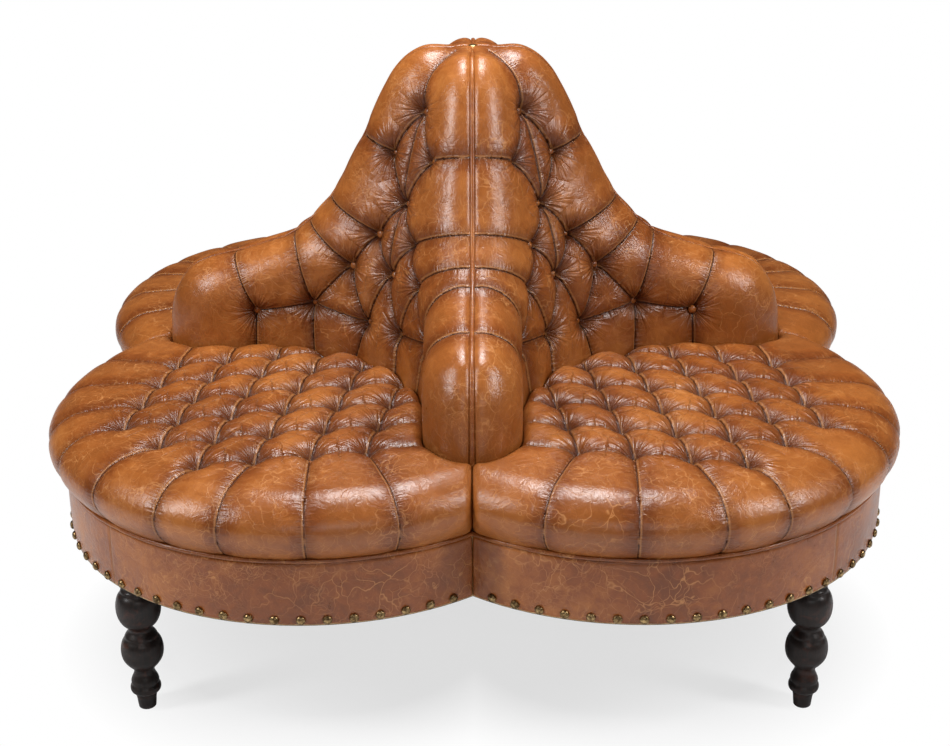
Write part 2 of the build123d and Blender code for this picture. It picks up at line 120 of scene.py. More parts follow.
def tube_faces(count, ring, flip=False):
    """Quads between neighbours of count rings, and a cap on each end; flip turns them all over."""
    row, column = np.meshgrid(np.arange(count - 1), np.arange(ring), indexing="ij")
    here, there, following = row * ring, (row + 1) * ring, (column + 1) % ring
    corners = [here + column, here + following, there + following, there + column]
    first, last = list(range(ring)), list(range((count - 1) * ring, count * ring))
    caps = [first[::-1], last]
    if flip:
        corners[1], corners[3] = corners[3], corners[1]
        caps = [first, last[::-1]]
    return np.stack(corners, axis=-1).reshape(-1, 4).tolist() + caps


# %% [markdown]
# Shader maths reads best as plain expressions. `Value` wraps one socket, and its operators add the
# Math nodes that the expression needs. `Graph.node` adds any other node: settings first, then the
# values or links of its sockets.

# %% Shader helpers
class Value:
    """A number that comes out of a shader socket, with operators that add Math nodes."""

    def __init__(self, graph, socket):
        self.graph, self.socket = graph, socket

    def _math(self, operation, first, second=0.0, clamp=False):
        node = self.graph.tree.nodes.new("ShaderNodeMath")
        node.operation, node.use_clamp = operation, clamp
        self.graph.feed(node.inputs[0], first)
        self.graph.feed(node.inputs[1], second)
        return Value(self.graph, node.outputs[0])

    def __add__(self, other): return self._math("ADD", self, other)
    def __radd__(self, other): return self._math("ADD", other, self)
    def __sub__(self, other): return self._math("SUBTRACT", self, other)
    def __rsub__(self, other): return self._math("SUBTRACT", other, self)
    def __mul__(self, other): return self._math("MULTIPLY", self, other)
    def __rmul__(self, other): return self._math("MULTIPLY", other, self)
    def clamped(self): return self._math("ADD", self, 0.0, clamp=True)
    def sine(self): return self._math("SINE", self)


class Graph:
    """One material and the nodes in it."""

    def __init__(self, name):
        self.material = bpy.data.materials.new(name)
        self.material.use_nodes = True
        self.tree = self.material.node_tree
        self.tree.nodes.clear()
        self.output = self.tree.nodes.new("ShaderNodeOutputMaterial")

    def feed(self, socket, value):
        """Links a Value or socket, or sets a plain number or colour."""
        if isinstance(value, Value):
            self.tree.links.new(value.socket, socket)
        elif isinstance(value, bpy.types.NodeSocket):
            self.tree.links.new(value, socket)
        else:
            socket.default_value = value

    def node(self, kind, settings=None, inputs=None, output=0):
        """Adds a node of a kind, sets its settings, feeds its sockets and gives one output."""
        node = self.tree.nodes.new(kind)
        for key, value in (settings or {}).items():
            if key == "stops":
                ramp = node.color_ramp
                while len(ramp.elements) < len(value):
                    ramp.elements.new(0.5)
                for element, (place, colour) in zip(ramp.elements, value):
                    element.position, element.color = place, (*colour, 1.0)
            else:
                setattr(node, key, value)
        for key, value in (inputs or {}).items():
            self.feed(node.inputs[key], value)
        socket = node.outputs[output]
        return Value(self, socket) if socket.type == "VALUE" else socket

    def noise(self, vector, scale, detail=2.0, roughness=0.5, distortion=0.0):
        """A smooth noise from 0 to 1."""
        inputs = {"Vector": vector, "Scale": scale, "Detail": detail, "Roughness": roughness}
        return self.node("ShaderNodeTexNoise", {}, {**inputs, "Distortion": distortion})

    def vector(self, operation, *inputs, output=0):
        """A Vector Math node, its inputs in order."""
        return self.node("ShaderNodeVectorMath", {"operation": operation}, dict(enumerate(inputs)), output)

    def mark(self, name, output=2):
        """A mark that the mesh carries: a number, or a vector from output 1."""
        return self.node("ShaderNodeAttribute", {"attribute_name": name}, {}, output)

    def mix(self, factor, first, second, blend="MIX"):
        """Two colours mixed by a factor."""
        return self.node("ShaderNodeMix", {"data_type": "RGBA", "blend_type": blend},
                         {0: factor, 6: first, 7: second}, 2)

    def ramp(self, factor, stops):
        """A colour picked along a strip of stops."""
        return self.node("ShaderNodeValToRGB", {"stops": stops}, {"Fac": factor})

    def range(self, value, low, high, start=0.0, end=1.0):
        """Carries low..high to start..end, held at the ends."""
        inputs = dict(enumerate((value, low, high, start, end)))
        return self.node("ShaderNodeMapRange", {"clamp": True}, inputs)

    def bump(self, height, strength, distance):
        """Turns a height into a bent normal."""
        inputs = {"Height": height, "Strength": strength, "Distance": distance}
        return self.node("ShaderNodeBump", {}, inputs)

    def finish(self, inputs):
        """Ends the material in one Principled shader with these inputs."""
        shader = self.node("ShaderNodeBsdfPrincipled", {}, inputs)
        self.tree.links.new(shader, self.output.inputs["Surface"])
        return self.material


def place_of(graph):
    """The point on the piece, in metres, in the sofa's own frame."""
    return graph.node("ShaderNodeTexCoord", {}, {}, "Object")


# %% [markdown]
# Deep-buttoned leather is hard to draw as a grid of patches, because every cushion is also rolled
# over an edge and cut off where it meets the next. So each cushion starts as a field: a formula that
# is negative inside the cushion and positive outside. A surface net turns the field into quads, and
# a few Newton steps then carry every point exactly onto the surface.

# %% Surface nets
LEAST_STEEPNESS = 0.05


def gradient(field, points, step=0.0004):
    """The field's slope at the points, by central differences."""
    slope = np.empty_like(points)
    for axis in range(3):
        shift = np.zeros(3)
        shift[axis] = step
        ahead, behind = points + shift, points - shift
        slope[:, axis] = (field(*ahead.T) - field(*behind.T)) / (2 * step)
    return slope


def normals_of(field, points):
    """Unit normals: the field's slope divided by its length."""
    slope = gradient(field, points)
    return slope / np.maximum(np.linalg.norm(slope, axis=1), 1e-9)[:, None]


def settle(field, points, rounds=4, reach=0.004):
    """Newton steps along the slope: p' = p - F(p) grad F / |grad F|^2, none longer than reach."""
    for _ in range(rounds):
        slope = gradient(field, points)
        steepness = np.maximum((slope**2).sum(axis=1), LEAST_STEEPNESS)
        move = slope * (field(*points.T) / steepness)[:, None]
        length = np.maximum(np.linalg.norm(move, axis=1), 1e-12)
        points = points - move * np.minimum(1.0, reach / length)[:, None]
    return points


def surface_net(field, low, high, cell):
    """Quads where the field changes sign: one point for each mixed cell of a cubic grid, at the mean of
    the crossings on the cell's edges, and one quad round each crossed edge."""
    axes = [np.arange(low[k], high[k] + cell, cell) for k in range(3)]
    grid = np.meshgrid(*axes, indexing="ij", sparse=True)
    values = np.broadcast_to(field(*grid), [len(a) for a in axes])
    cells = tuple(len(a) - 1 for a in axes)
    total = np.zeros((*cells, 3))
    count = np.zeros(cells)
    crossed = []
    for axis in range(3):
        first = np.take(values, range(cells[axis]), axis=axis)
        last = np.take(values, range(1, cells[axis] + 1), axis=axis)
        places = np.argwhere((first < 0) != (last < 0))
        a, b = first[tuple(places.T)], last[tuple(places.T)]
        spot = places.astype(float)
        spot[:, axis] += a / (a - b)
        crossed.append((axis, places, a < 0))
        side, up = (axis + 1) % 3, (axis + 2) % 3
        for back in (0, 1):
            for down in (0, 1):
                home = places.copy()
                home[:, side] -= back
                home[:, up] -= down
                good = ((home >= 0) & (home < cells)).all(axis=1)
                np.add.at(total, tuple(home[good].T), spot[good])
                np.add.at(count, tuple(home[good].T), 1)
    mixed = count > 0
    number = np.full(cells, -1)
    number[mixed] = np.arange(mixed.sum())
    points = total[mixed] / count[mixed][:, None] * cell + np.array(low)
    quads = []
    for axis, places, leaving in crossed:
        side, up = (axis + 1) % 3, (axis + 2) % 3
        ring = []
        for back, down in ((1, 1), (0, 1), (0, 0), (1, 0)):
            home = places.copy()
            home[:, side] -= back
            home[:, up] -= down
            inside = ((home >= 0) & (home < cells)).all(axis=1)
            ring.append(np.where(inside, number[tuple(np.clip(home, 0, np.array(cells) - 1).T)], -1))
        ring = np.stack(ring, axis=1)
        ring[~leaving] = ring[~leaving][:, ::-1]
        quads.append(ring[(ring >= 0).all(axis=1)])
    return points, np.concatenate(quads)


# %% [markdown]
# Round joins between forms come from two formulas. The rounded overlap of two fields has a corner of
# a chosen radius, as where the crown of a seat turns over into its side. The rounded union has a
# hollow of a chosen radius, as where two wings of the back meet.

# %% Round joins
def both(a, b, radius):
    """Inside both fields, the corner rounded: min(max(a, b), -r) + |(max(a + r, 0), max(b + r, 0))|."""
    rounding = np.hypot(np.maximum(a + radius, 0), np.maximum(b + radius, 0))
    return np.minimum(np.maximum(a, b), -radius) + rounding


def either(a, b, radius):
    """Inside either field, the hollow filled: max(min(a, b), r) - |(max(r - a, 0), max(r - b, 0))|."""
    rounding = np.hypot(np.maximum(radius - a, 0), np.maximum(radius - b, 0))
    return np.maximum(np.minimum(a, b), radius) - rounding


# %% [markdown]
# The back is four wings that meet in a cross. Seen from the side, a wing's ridge drops in a long
# double curve from the apex to the nose. The table below gives that curve in millimetres, and a second
# table gives how far each point lies below the ridge, which is what rolls the pad over its edge.

# %% Ridge of the back
RIDGE = np.array([
    (0, 1058), (46, 1057.6), (93, 1055.6), (117, 1043.5), (145.5, 1015.5), (163, 987), (178, 958.5),
    (191, 930), (203, 901), (219, 871.5), (235, 842), (249.5, 812.5), (268, 783), (291, 753),
    (323.5, 722.5), (362, 696), (410, 679.5), (457, 665.5), (492, 657.5), (520, 649.4), (551.5, 633.5),
    (567.5, 615.5), (582.5, 591), (593.5, 555), (598, 517.5), (600, 465), (600, 360)]) / 1000


def smooth_path(points, count):
    """A curve through the points, evenly stepped: cubic Hermite pieces with Catmull-Rom slopes."""
    lengths = np.concatenate([[0], np.cumsum(np.linalg.norm(np.diff(points, axis=0), axis=1))])
    slopes = np.gradient(points, lengths, axis=0)
    where = np.linspace(0, lengths[-1], count)
    k = np.clip(np.searchsorted(lengths, where) - 1, 0, len(points) - 2)
    span = (lengths[k + 1] - lengths[k])[:, None]
    t = (where - lengths[k])[:, None] / span
    return ((2 * t**3 - 3 * t**2 + 1) * points[k] + (t**3 - 2 * t**2 + t) * span * slopes[k]
            + (3 * t**2 - 2 * t**3) * points[k + 1] + (t**3 - t**2) * span * slopes[k + 1])


ridge_path = smooth_path(RIDGE, 420)
TABLE_STEP, LAST_CELL, HELD_FROM = 0.002, 1.001, -0.09
table_s = np.arange(-0.10, 0.70, TABLE_STEP)
table_z = np.arange(0.30, 1.12, TABLE_STEP)


def ridge_depth_table():
    """Depth below the ridge on a grid of (s, z): the distance to the curve, positive on the wing's side."""
    s, z = np.meshgrid(table_s, table_z, indexing="ij")
    near = np.full(s.shape, np.inf)
    for (s0, z0), (s1, z1) in zip(ridge_path, ridge_path[1:]):
        run, rise = s1 - s0, z1 - z0
        t = np.clip(((s - s0) * run + (z - z0) * rise) / (run**2 + rise**2), 0, 1)
        near = np.minimum(near, (s - s0 - t * run)**2 + (z - z0 - t * rise)**2)
    height = np.interp(s, ridge_path[:, 0], ridge_path[:, 1])
    inside = (z < height) & (s < WING_LENGTH)
    return np.where(inside, 1, -1) * np.sqrt(near)


depth_table = ridge_depth_table()


def ridge_depth(s, z):
    """Reads the table between its grid points; the wing runs on through the middle of the sofa."""
    s, z = np.broadcast_arrays(s, z)
    i = np.clip((np.maximum(s, HELD_FROM) - table_s[0]) / TABLE_STEP, 0, len(table_s) - LAST_CELL)
    j = np.clip((z - table_z[0]) / TABLE_STEP, 0, len(table_z) - LAST_CELL)
    i0, j0 = i.astype(int), j.astype(int)
    u, v = i - i0, j - j0
    low = depth_table[i0, j0] * (1 - u) + depth_table[i0 + 1, j0] * u
    high = depth_table[i0, j0 + 1] * (1 - u) + depth_table[i0 + 1, j0 + 1] * u
    return low * (1 - v) + high * v


print("ridge length", round(float(np.linalg.norm(np.diff(ridge_path, axis=0), axis=1).sum()), 3))

# %% [markdown]
# The back pad of a quarter is half of two wings and the hollow between them. The wings roll over
# along the ridge in a quarter ellipse, and the hollow opens towards the seat, so a sitter leans
# into a round corner.

# %% Field of the back pad
ROLL, NOSE_ROLL = 0.075, 0.105
BAND_HALF = 0.0045
HOLLOW = np.array([(0.37, 0.350), (0.47, 0.340), (0.658, 0.256), (0.80, 0.157), (0.95, 0.078),
                   (1.02, 0.040), (1.06, 0.012), (1.10, 0.012)])
WING_HALVES = np.array([(0.40, 0.084), (0.55, 0.086), (0.80, 0.087), (1.05, 0.076)])
PAD_LIFT, LIFT_FADE = 0.006, 0.007
BACK_CUT, BACK_CUT_ROUND, BACK_STAND = 0.0012, 0.004, 0.001
EDGE_ROUND, FOOT_ROUND = 0.0002, 0.001
ROLL_START, ROLL_END = 0.47, 0.57


def wing_field(along, across, z):
    """A rolled half wing: with e = (|across| - band) / (h - band) and f = (roll - depth) / roll,
    F = (|(e, f)| - 1) * roll, where only positive e and f count. h is the half thickness, and
    the depth grows by lift * (1 - exp(-gap / 7 mm)) with the gap from the band, so the pad stands proud."""
    half = np.interp(z, WING_HALVES[:, 0], WING_HALVES[:, 1])
    gap = np.maximum(np.abs(across) - BAND_HALF, 0)
    depth = ridge_depth(along, z) + PAD_LIFT * (1 - np.exp(-gap / LIFT_FADE))
    roll = np.interp(along, [ROLL_START, ROLL_END], [ROLL, NOSE_ROLL])
    e = gap / (half - BAND_HALF)
    f = np.maximum((roll - depth) / roll, 0)
    return (np.hypot(e, f) - 1) * roll


def back_field(x, y, z):
    """Two wings and the hollow between them, cut off at the middle planes of the wings."""
    hollow = np.interp(z, HOLLOW[:, 0], HOLLOW[:, 1])
    return either(wing_field(x, y, z), wing_field(y, x, z), hollow)


def back_pad_field(x, y, z):
    """The back, its quarter only, down to the deck."""
    quarter = both(back_field(x, y, z), both(BACK_CUT - x, BACK_CUT - y, EDGE_ROUND), BACK_CUT_ROUND)
    return both(quarter, DECK_TOP + BACK_STAND - z, FOOT_ROUND)


# %% [markdown]
# A seat cushion is a round cake: a low crown, a fat side that is widest above the middle, and a foot
# drawn in under the welt. Its quarter is cut straight where it meets the neighbours, and hollowed
# where the back presses into it.

# %% Field of the seat pad
SEAT_ROUND, WIDEST = 0.050, 0.434
CROWN_DROP, CROWN_REACH = 0.021, 0.44
FOOT_IN, FOOT_DROP, TOP_IN, TOP_RISE = 0.032, 0.056, 0.012, 0.05
SEAT_CUT, SEAT_CUT_ROUND, SEAT_STAND = 0.0006, 0.012, 0.0068
PRESS_GAP, PRESS_ROUND = 0.001, 0.018


def seat_field(x, y, z):
    """Crown z < c - drop (r / reach)^2 and side r < R(z), where R falls off by parabolas above and
    below the widest height, joined by a round shoulder."""
    r = np.hypot(x - SEAT_SPREAD, y - SEAT_SPREAD)
    crown = z - (CROWN_TOP - CROWN_DROP * (r / CROWN_REACH)**2)
    below, above = np.maximum(WIDEST - z, 0), np.maximum(z - WIDEST, 0)
    side = r - (SEAT_RADIUS - FOOT_IN * (below / FOOT_DROP)**2 - TOP_IN * (above / TOP_RISE)**2)
    return both(crown, side, SEAT_ROUND)


def seat_pad_field(x, y, z):
    """The round seat, its quarter only, pressed by the back and standing on the deck."""
    quarter = both(seat_field(x, y, z), both(SEAT_CUT - x, SEAT_CUT - y, EDGE_ROUND), SEAT_CUT_ROUND)
    pressed = both(quarter, PRESS_GAP - back_field(x, y, z), PRESS_ROUND)
    return both(pressed, DECK_TOP + SEAT_STAND - z, FOOT_ROUND)


# %% [markdown]
# Buttons pull the leather down through the stuffing, and pleats take up the leather that is left
# over between them. Each pleat is a path on the cushion's surface. Its depth is greatest at the
# buttons, and a row of depths is read from its start to its end. Away from a pleat the leather swells
# up in a round arc, as a pillow does beside its seam.
# The meshes also carry marks of where the pleats and buttons are, which the leather's shader reads.

# %% Pleats and dimples
SLOPE_SPAN, LIP_SPAN, SLOPE_POWER = 1.15, 0.8, 0.85
DIMPLE_REACH, BUTTON_REACH = 0.04, 0.09
PLEAT_SHIFT, BUTTON_SHIFT, LIP_LEAN = 1.7, 3.7, 0.4
FAR_OFF = 1.0


def nearest_on_path(points, path):
    """Distance of each point to a path, how far along it lies (0 to 1), and the nearest point."""
    spans = np.diff(path, axis=0)
    lengths = np.linalg.norm(spans, axis=1)
    starts = np.concatenate([[0], np.cumsum(lengths)])
    best = np.full(len(points), np.inf)
    along = np.zeros(len(points))
    spot = np.zeros((len(points), 3))
    for start, span, length, before in zip(path, spans, lengths, starts):
        t = np.clip(((points - start) @ span) / length**2, 0, 1)
        there = start + t[:, None] * span
        gap = np.linalg.norm(points - there, axis=1)
        closer = gap < best
        best[closer], spot[closer] = gap[closer], there[closer]
        along[closer] = before + t[closer] * length
    return best, along / starts[-1], spot


def swell(distance, width):
    """1 at the pleat and 0 at the top of the pillow: 1 - sqrt(1 - (1 - d / width)^2)."""
    return 1 - np.sqrt(np.maximum(1 - (1 - np.minimum(distance, width) / width)**2, 0))


def snap_to_pleats(points, pleats, reach, field):
    """Moves the points nearest a pleat sideways onto it, so that the fold runs along mesh edges."""
    best = np.full(len(points), reach)
    target = points.copy()
    for path, _, _ in pleats:
        near = ((points > path.min(axis=0) - reach) & (points < path.max(axis=0) + reach)).all(axis=1)
        gap, _, spot = nearest_on_path(points[near], path)
        where = np.flatnonzero(near)[gap < best[near]]
        best[where], target[where] = gap[gap < best[near]], spot[gap < best[near]]
    return settle(field, target, rounds=2)


def tuft_leather(points, pleats, buttons, width, dimple, lip_way):
    """How far each point sinks. Pleats add as (sum of sink^3)^(1/3); a button adds
    dimple * (1 - d / reach)^2. One side of a pleat folds over the other: on the lip's side, where
    lip_way points, the leather drops steeply, and on the other it slopes. Also gives the marks for the
    leather: the distance to the nearest pleat, whether the point is on its lip's side, how far along it
    lies, the distance to the nearest button and the direction away from it. The two shifts keep
    the wrinkles of neighbours from coming out alike."""
    sink = np.zeros(len(points))
    seam = np.full(len(points), FAR_OFF)
    side, run = np.zeros(len(points)), np.zeros(len(points))
    for number, (path, depths, wide) in enumerate(pleats):
        span = width * wide * SLOPE_SPAN
        near = ((points > path.min(axis=0) - span) & (points < path.max(axis=0) + span)).all(axis=1)
        gap, along, spot = nearest_on_path(points[near], path)
        depth = np.interp(along, np.linspace(0, 1, len(depths)), depths)
        lip = ((points[near] - spot) @ lip_way(path)) > 0
        sunk = depth * np.where(lip, swell(gap, span * LIP_SPAN), swell(gap, span)**SLOPE_POWER)
        sink[near] += sunk**3
        length = np.linalg.norm(np.diff(path, axis=0), axis=1).sum()
        nearer = gap < seam[near]
        closer = np.flatnonzero(near)[nearer]
        seam[closer], side[closer] = gap[nearer], lip[nearer]
        run[closer] = along[nearer] * length + number * PLEAT_SHIFT
    sink = np.cbrt(sink)
    far = np.full(len(points), FAR_OFF)
    pull = np.zeros((len(points), 3))
    for number, button in enumerate(buttons):
        near = (np.abs(points - button) < BUTTON_REACH).all(axis=1)
        way = points[near] - button
        gap = np.linalg.norm(way, axis=1)
        sink[near] += dimple * np.maximum(1 - gap / DIMPLE_REACH, 0)**2
        nearer = gap < far[near]
        closer = np.flatnonzero(near)[nearer]
        pull[closer] = (way / np.maximum(gap, 1e-4)[:, None])[nearer] + number * BUTTON_SHIFT
        far[near] = np.minimum(far[near], gap)
    return sink, {"seam": seam, "side": side, "run": run, "button": far, "pull": pull}


def outward_lip(path):
    """On a seat the fold opens away from the sofa's middle, square to the pleat."""
    run = path[-1] - path[0]
    return np.array([run[1], -run[0], 0.0]) * np.sign(run[1] - run[0] + 1e-6)


def upper_lip(path):
    """On the back the leather above a fold hangs over it."""
    run = path[-1] - path[0]
    up = np.array([-LIP_LEAN * np.sign(path[0][0] - path[0][1] + 1e-6), 0.0, 1.0])
    return up - run * (up @ run) / (run @ run)


# %% [markdown]
# The buttons of a seat stand on a lattice of diamonds that runs along the diagonal of the quarter.
# Pleats join neighbours, and from the outer buttons single pleats run over the shoulder to the welt,
# through the radii and heights that SHOULDER lists.

# %% Buttons and pleats of a seat
LATTICE_START, LATTICE_STEP, LATTICE_SKEW, LATTICE_COUNT = 0.102, 0.093, 0.015, 7
TUFT_REACH, BORDER_REACH = 0.382, 0.295
TUFT_MARGIN, BACK_MARGIN = 0.010, 0.030
RIM_START, SHOULDER_TURN = 0.51, 0.48
DIAMOND_PLEAT, BACK_EDGE_PLEAT = (0.017, 0.0115, 0.017), (0.017, 0.010, 0.008)
SHOULDER_PLEAT = (0.017, 0.0085, 0.006, 0.005, 0.003)
SHOULDER = [(0.40, 0.505), (0.43, 0.50), (0.455, 0.492), (0.475, 0.478), (0.488, 0.46), (0.494, 0.44),
            (0.49, 0.415), (0.478, 0.395), (0.462, 0.378)]


def lattice_point(i, j):
    """x = start + step i + skew j, y = start + step j + skew i, dropped onto the cushion."""
    x = LATTICE_START + LATTICE_STEP * i + LATTICE_SKEW * j
    y = LATTICE_START + LATTICE_STEP * j + LATTICE_SKEW * i
    return np.array([x, y, CROWN_TOP])


def between(first, last, count=8):
    """Evenly spaced points on a straight line."""
    return first + (last - first) * np.linspace(0, 1, count)[:, None]


seat_buttons = {}
for i in range(LATTICE_COUNT):
    for j in range(LATTICE_COUNT):
        place = lattice_point(i, j)
        out = math.hypot(place[0] - SEAT_SPREAD, place[1] - SEAT_SPREAD)
        if out < TUFT_REACH and back_field(*place) > TUFT_MARGIN:
            seat_buttons[i, j] = settle(seat_field, place[None])[0]

seat_pleats = []
for (i, j), place in seat_buttons.items():
    for other in ((i + 1, j), (i, j + 1)):
        if other in seat_buttons:
            path = settle(seat_field, between(place, seat_buttons[other]))
            seat_pleats.append((path, DIAMOND_PLEAT, 1.0))
    for other in ((i - 1, j), (i, j - 1)):
        if other not in seat_buttons and back_field(*lattice_point(*other)) < BACK_MARGIN:
            path = settle(seat_field, between(place, lattice_point(*other)))
            seat_pleats.append((path, BACK_EDGE_PLEAT, 0.9))
    out = place[:2] - SEAT_SPREAD
    reach = np.linalg.norm(out)
    if reach > BORDER_REACH:
        rim = [(reach, RIM_START)] + [(r, z) for r, z in SHOULDER if r >= reach or z < SHOULDER_TURN]
        path = np.array([(*(SEAT_SPREAD + out / reach * r), z) for r, z in rim])
        seat_pleats.append((settle(seat_field, path), SHOULDER_PLEAT, 0.8))
print(len(seat_buttons), "buttons and", len(seat_pleats), "pleats on a seat")

# %% [markdown]
# The back carries its buttons on the wings and down the hollow corner. Places on a wing are given as
# the distance from the sofa's middle and the height, and each is brought onto the pad's surface. A
# pleat on the wing is named by the two buttons that it joins, or by the one that it starts from.

# %% Buttons and pleats of a back pad
WING_BUTTONS = {"b": (0.158, 0.884), "e": (0.188, 0.734), "g": (0.240, 0.668), "i": (0.316, 0.584),
                "j": (0.424, 0.562), "k": (0.214, 0.566)}
CORNER_BUTTONS = {"a": 0.964, "d": 0.799, "h": 0.669}
WING_PLEATS = ["ab", "bd", "de", "eh", "eg", "gi", "hk", "gk", "ij", "ik"]
RIDGE_PLEATS = {"b": (0.2037, 0.8995), "e": (0.2725, 0.7764), "g": (0.316, 0.729), "i": (0.349, 0.7035),
                "j": (0.4663, 0.6633)}
FOOT_PLEATS = {"j": (0.429, 0.450), "i": (0.313, 0.450), "k": (0.244, 0.440)}
FACE_PLEAT, FOOT_PLEAT, CORNER_PLEAT = (0.016, 0.011, 0.016), (0.016, 0.010, 0.008), (0.012, 0.006, 0.012)
ROLL_PLEAT, CROWN_PLEAT = (0.016, 0.0105, 0.008, 0.0065, 0.006, 0.005), (0.016, 0.009, 0.007, 0.006)
FACE_SHARE, PAST_RIDGE = 0.7, 1.04
WIDEST_WING, HALVINGS = 0.40, 24
CORNER_START, CORNER_ROUNDS = 0.12, 40
CROWN_LINE_TOP, CROWN_LINE_FALL = 1.062, 0.098


def face_of_wing(s, z):
    """The pad's surface beside the wing at (s, z): the span that holds it is halved along y."""
    inner, outer = np.zeros_like(s), np.full_like(s, WIDEST_WING)
    for _ in range(HALVINGS):
        middle = (inner + outer) / 2
        inside = back_field(s, middle, z) < 0
        inner, outer = np.where(inside, middle, inner), np.where(inside, outer, middle)
    return np.stack([s, (inner + outer) / 2, z], axis=-1)


def corner_of_back(z):
    """The pad's surface on the diagonal at a height."""
    place = face_of_wing(np.array([CORNER_START]), np.array([z]))[0]
    for _ in range(CORNER_ROUNDS):
        middle = (place[0] + place[1]) / 2
        place = face_of_wing(np.array([middle]), np.array([z]))[0]
    return place


def over_the_roll(start, end):
    """Up the face on a line from a button towards the ridge, then round the roll to the band: there y
    is given, and the place along the line is found by halving."""
    line = start + (end - start) * np.linspace(0, FACE_SHARE, 8)[:, None]
    face = face_of_wing(line[:, 0], line[:, 1])
    y = face[-1, 1] + (BAND_HALF - face[-1, 1]) * np.linspace(0, 1, 12)[1:]
    inner, outer = np.full(len(y), FACE_SHARE), np.full(len(y), PAST_RIDGE)
    for _ in range(HALVINGS):
        middle = (inner + outer) / 2
        spot = start + (end - start) * middle[:, None]
        inside = back_field(spot[:, 0], y, spot[:, 1]) < 0
        inner, outer = np.where(inside, middle, inner), np.where(inside, outer, middle)
    spot = start + (end - start) * inner[:, None]
    return np.concatenate([face, np.stack([spot[:, 0], y, spot[:, 1]], axis=1)])


def mirrored(path):
    """The same path on the other wing: x and y change places."""
    return path[..., [1, 0, 2]]


back_spots = {name: face_of_wing(np.array([s]), np.array([z]))[0]
              for name, (s, z) in WING_BUTTONS.items()}
back_spots.update({name: corner_of_back(z) for name, z in CORNER_BUTTONS.items()})
wing_paths = []
for first, last in WING_PLEATS:
    path = settle(back_field, between(back_spots[first], back_spots[last]), reach=0.02)
    wing_paths.append((path, FACE_PLEAT, 1.0))
for name, end in RIDGE_PLEATS.items():
    path = over_the_roll(np.array(WING_BUTTONS[name]), np.array(end))
    wing_paths.append((path, ROLL_PLEAT, 0.8))
for name, (s, z) in FOOT_PLEATS.items():
    line = between(np.array(WING_BUTTONS[name]), np.array([s, z]), 12)
    wing_paths.append((face_of_wing(line[:, 0], line[:, 1]), FOOT_PLEAT, 0.9))
back_pleats = wing_paths + [(mirrored(path), depths, wide) for path, depths, wide in wing_paths]
crown_line = np.array([corner_of_back(z)
                       for z in CROWN_LINE_TOP - CROWN_LINE_FALL * np.linspace(1, 0, 12)**2])
back_pleats.append((crown_line, CROWN_PLEAT, 0.8))
for first, last in ("ad", "dh"):
    line = between(back_spots[first], back_spots[last], 10)
    back_pleats.append((settle(back_field, line, reach=0.02), CORNER_PLEAT, 0.7))
back_buttons = list(back_spots.values()) + [mirrored(back_spots[name]) for name in WING_BUTTONS]
print(len(back_buttons), "buttons and", len(back_pleats), "pleats on a back pad")


# %% [markdown]
# The leather is aniline-dyed and waxed, a tan hide that is paler where it is stretched over the
# crests. Its colour is built from broad clouds, a finer mottle and a crackle of pale thin lines. On the
# tufted meshes it also carries painted light from the marks of the folds: painted shade darkens the
# valleys, the dents round the buttons and a thin line in each pleat, along with some darker dye in
# the creases, and a painted highlight runs along the lip of each fold. The bump has a hide grain,
# soft creases, gathers that run towards each button and puckers square to each pleat.

# %% Leather
# The dark tan also paints the shade in the folds; the black-brown paints the shade line in each pleat as
# well as the skirt's seam line; the pale scuff tone paints the highlight on each pleat's lip as well as the
# scuffed crackle lines.
TAN_DARK, TAN_MID, TAN_LIGHT = (0.085, 0.017, 0.0024), (0.240, 0.062, 0.0100), (0.480, 0.165, 0.034)
SCUFF_AND_SHEEN, BLACK_BROWN = (0.62, 0.28, 0.095), (0.055, 0.017, 0.006)
CRACKLE = ((22.0, 0.024, 0.0, 1.0), (43.0, 0.032, 3.1, 0.8), (84.0, 0.045, 7.3, 0.55))
BUMP_DEPTH = 0.0022


def blend(share, first, second):
    """A colour between two: (1 - share) first + share second."""
    return tuple((1 - share) * a + share * b for a, b in zip(first, second))


def clouds(graph, place):
    """Broad clouds and a finer mottle of the dye, and the mottle by itself."""
    broad = graph.noise(place, 4.5, 3.0, 0.55, 0.4)
    mottle = graph.noise(place, 38.0, 5.0, 0.62, 0.8)
    tone = graph.range(broad * 0.62 + mottle * 0.38, 0.36, 0.64)
    stops = [(0.0, blend(0.50, TAN_MID, TAN_DARK)), (0.45, TAN_MID), (1.0, blend(0.65, TAN_MID, TAN_LIGHT))]
    return graph.ramp(tone, stops), mottle


def crackle(graph, swayed):
    """Webs of pale lines in three sizes (scale, width, offset, weight), each worn away in patches."""
    lines = []
    for scale, wide, offset, weight in CRACKLE:
        moved = graph.vector("ADD", swayed, (offset, offset, 0.0))
        inputs = {"Vector": moved, "Scale": scale}
        web = graph.node("ShaderNodeTexVoronoi", {"feature": "DISTANCE_TO_EDGE"}, inputs)
        broken = graph.range(graph.noise(moved, 9.0, 3.0, 0.6), 0.44, 0.62)
        lines.append(graph.range(web, wide, 0.0) * broken * weight)
    return (lines[0] + lines[1] + lines[2]).clamped()


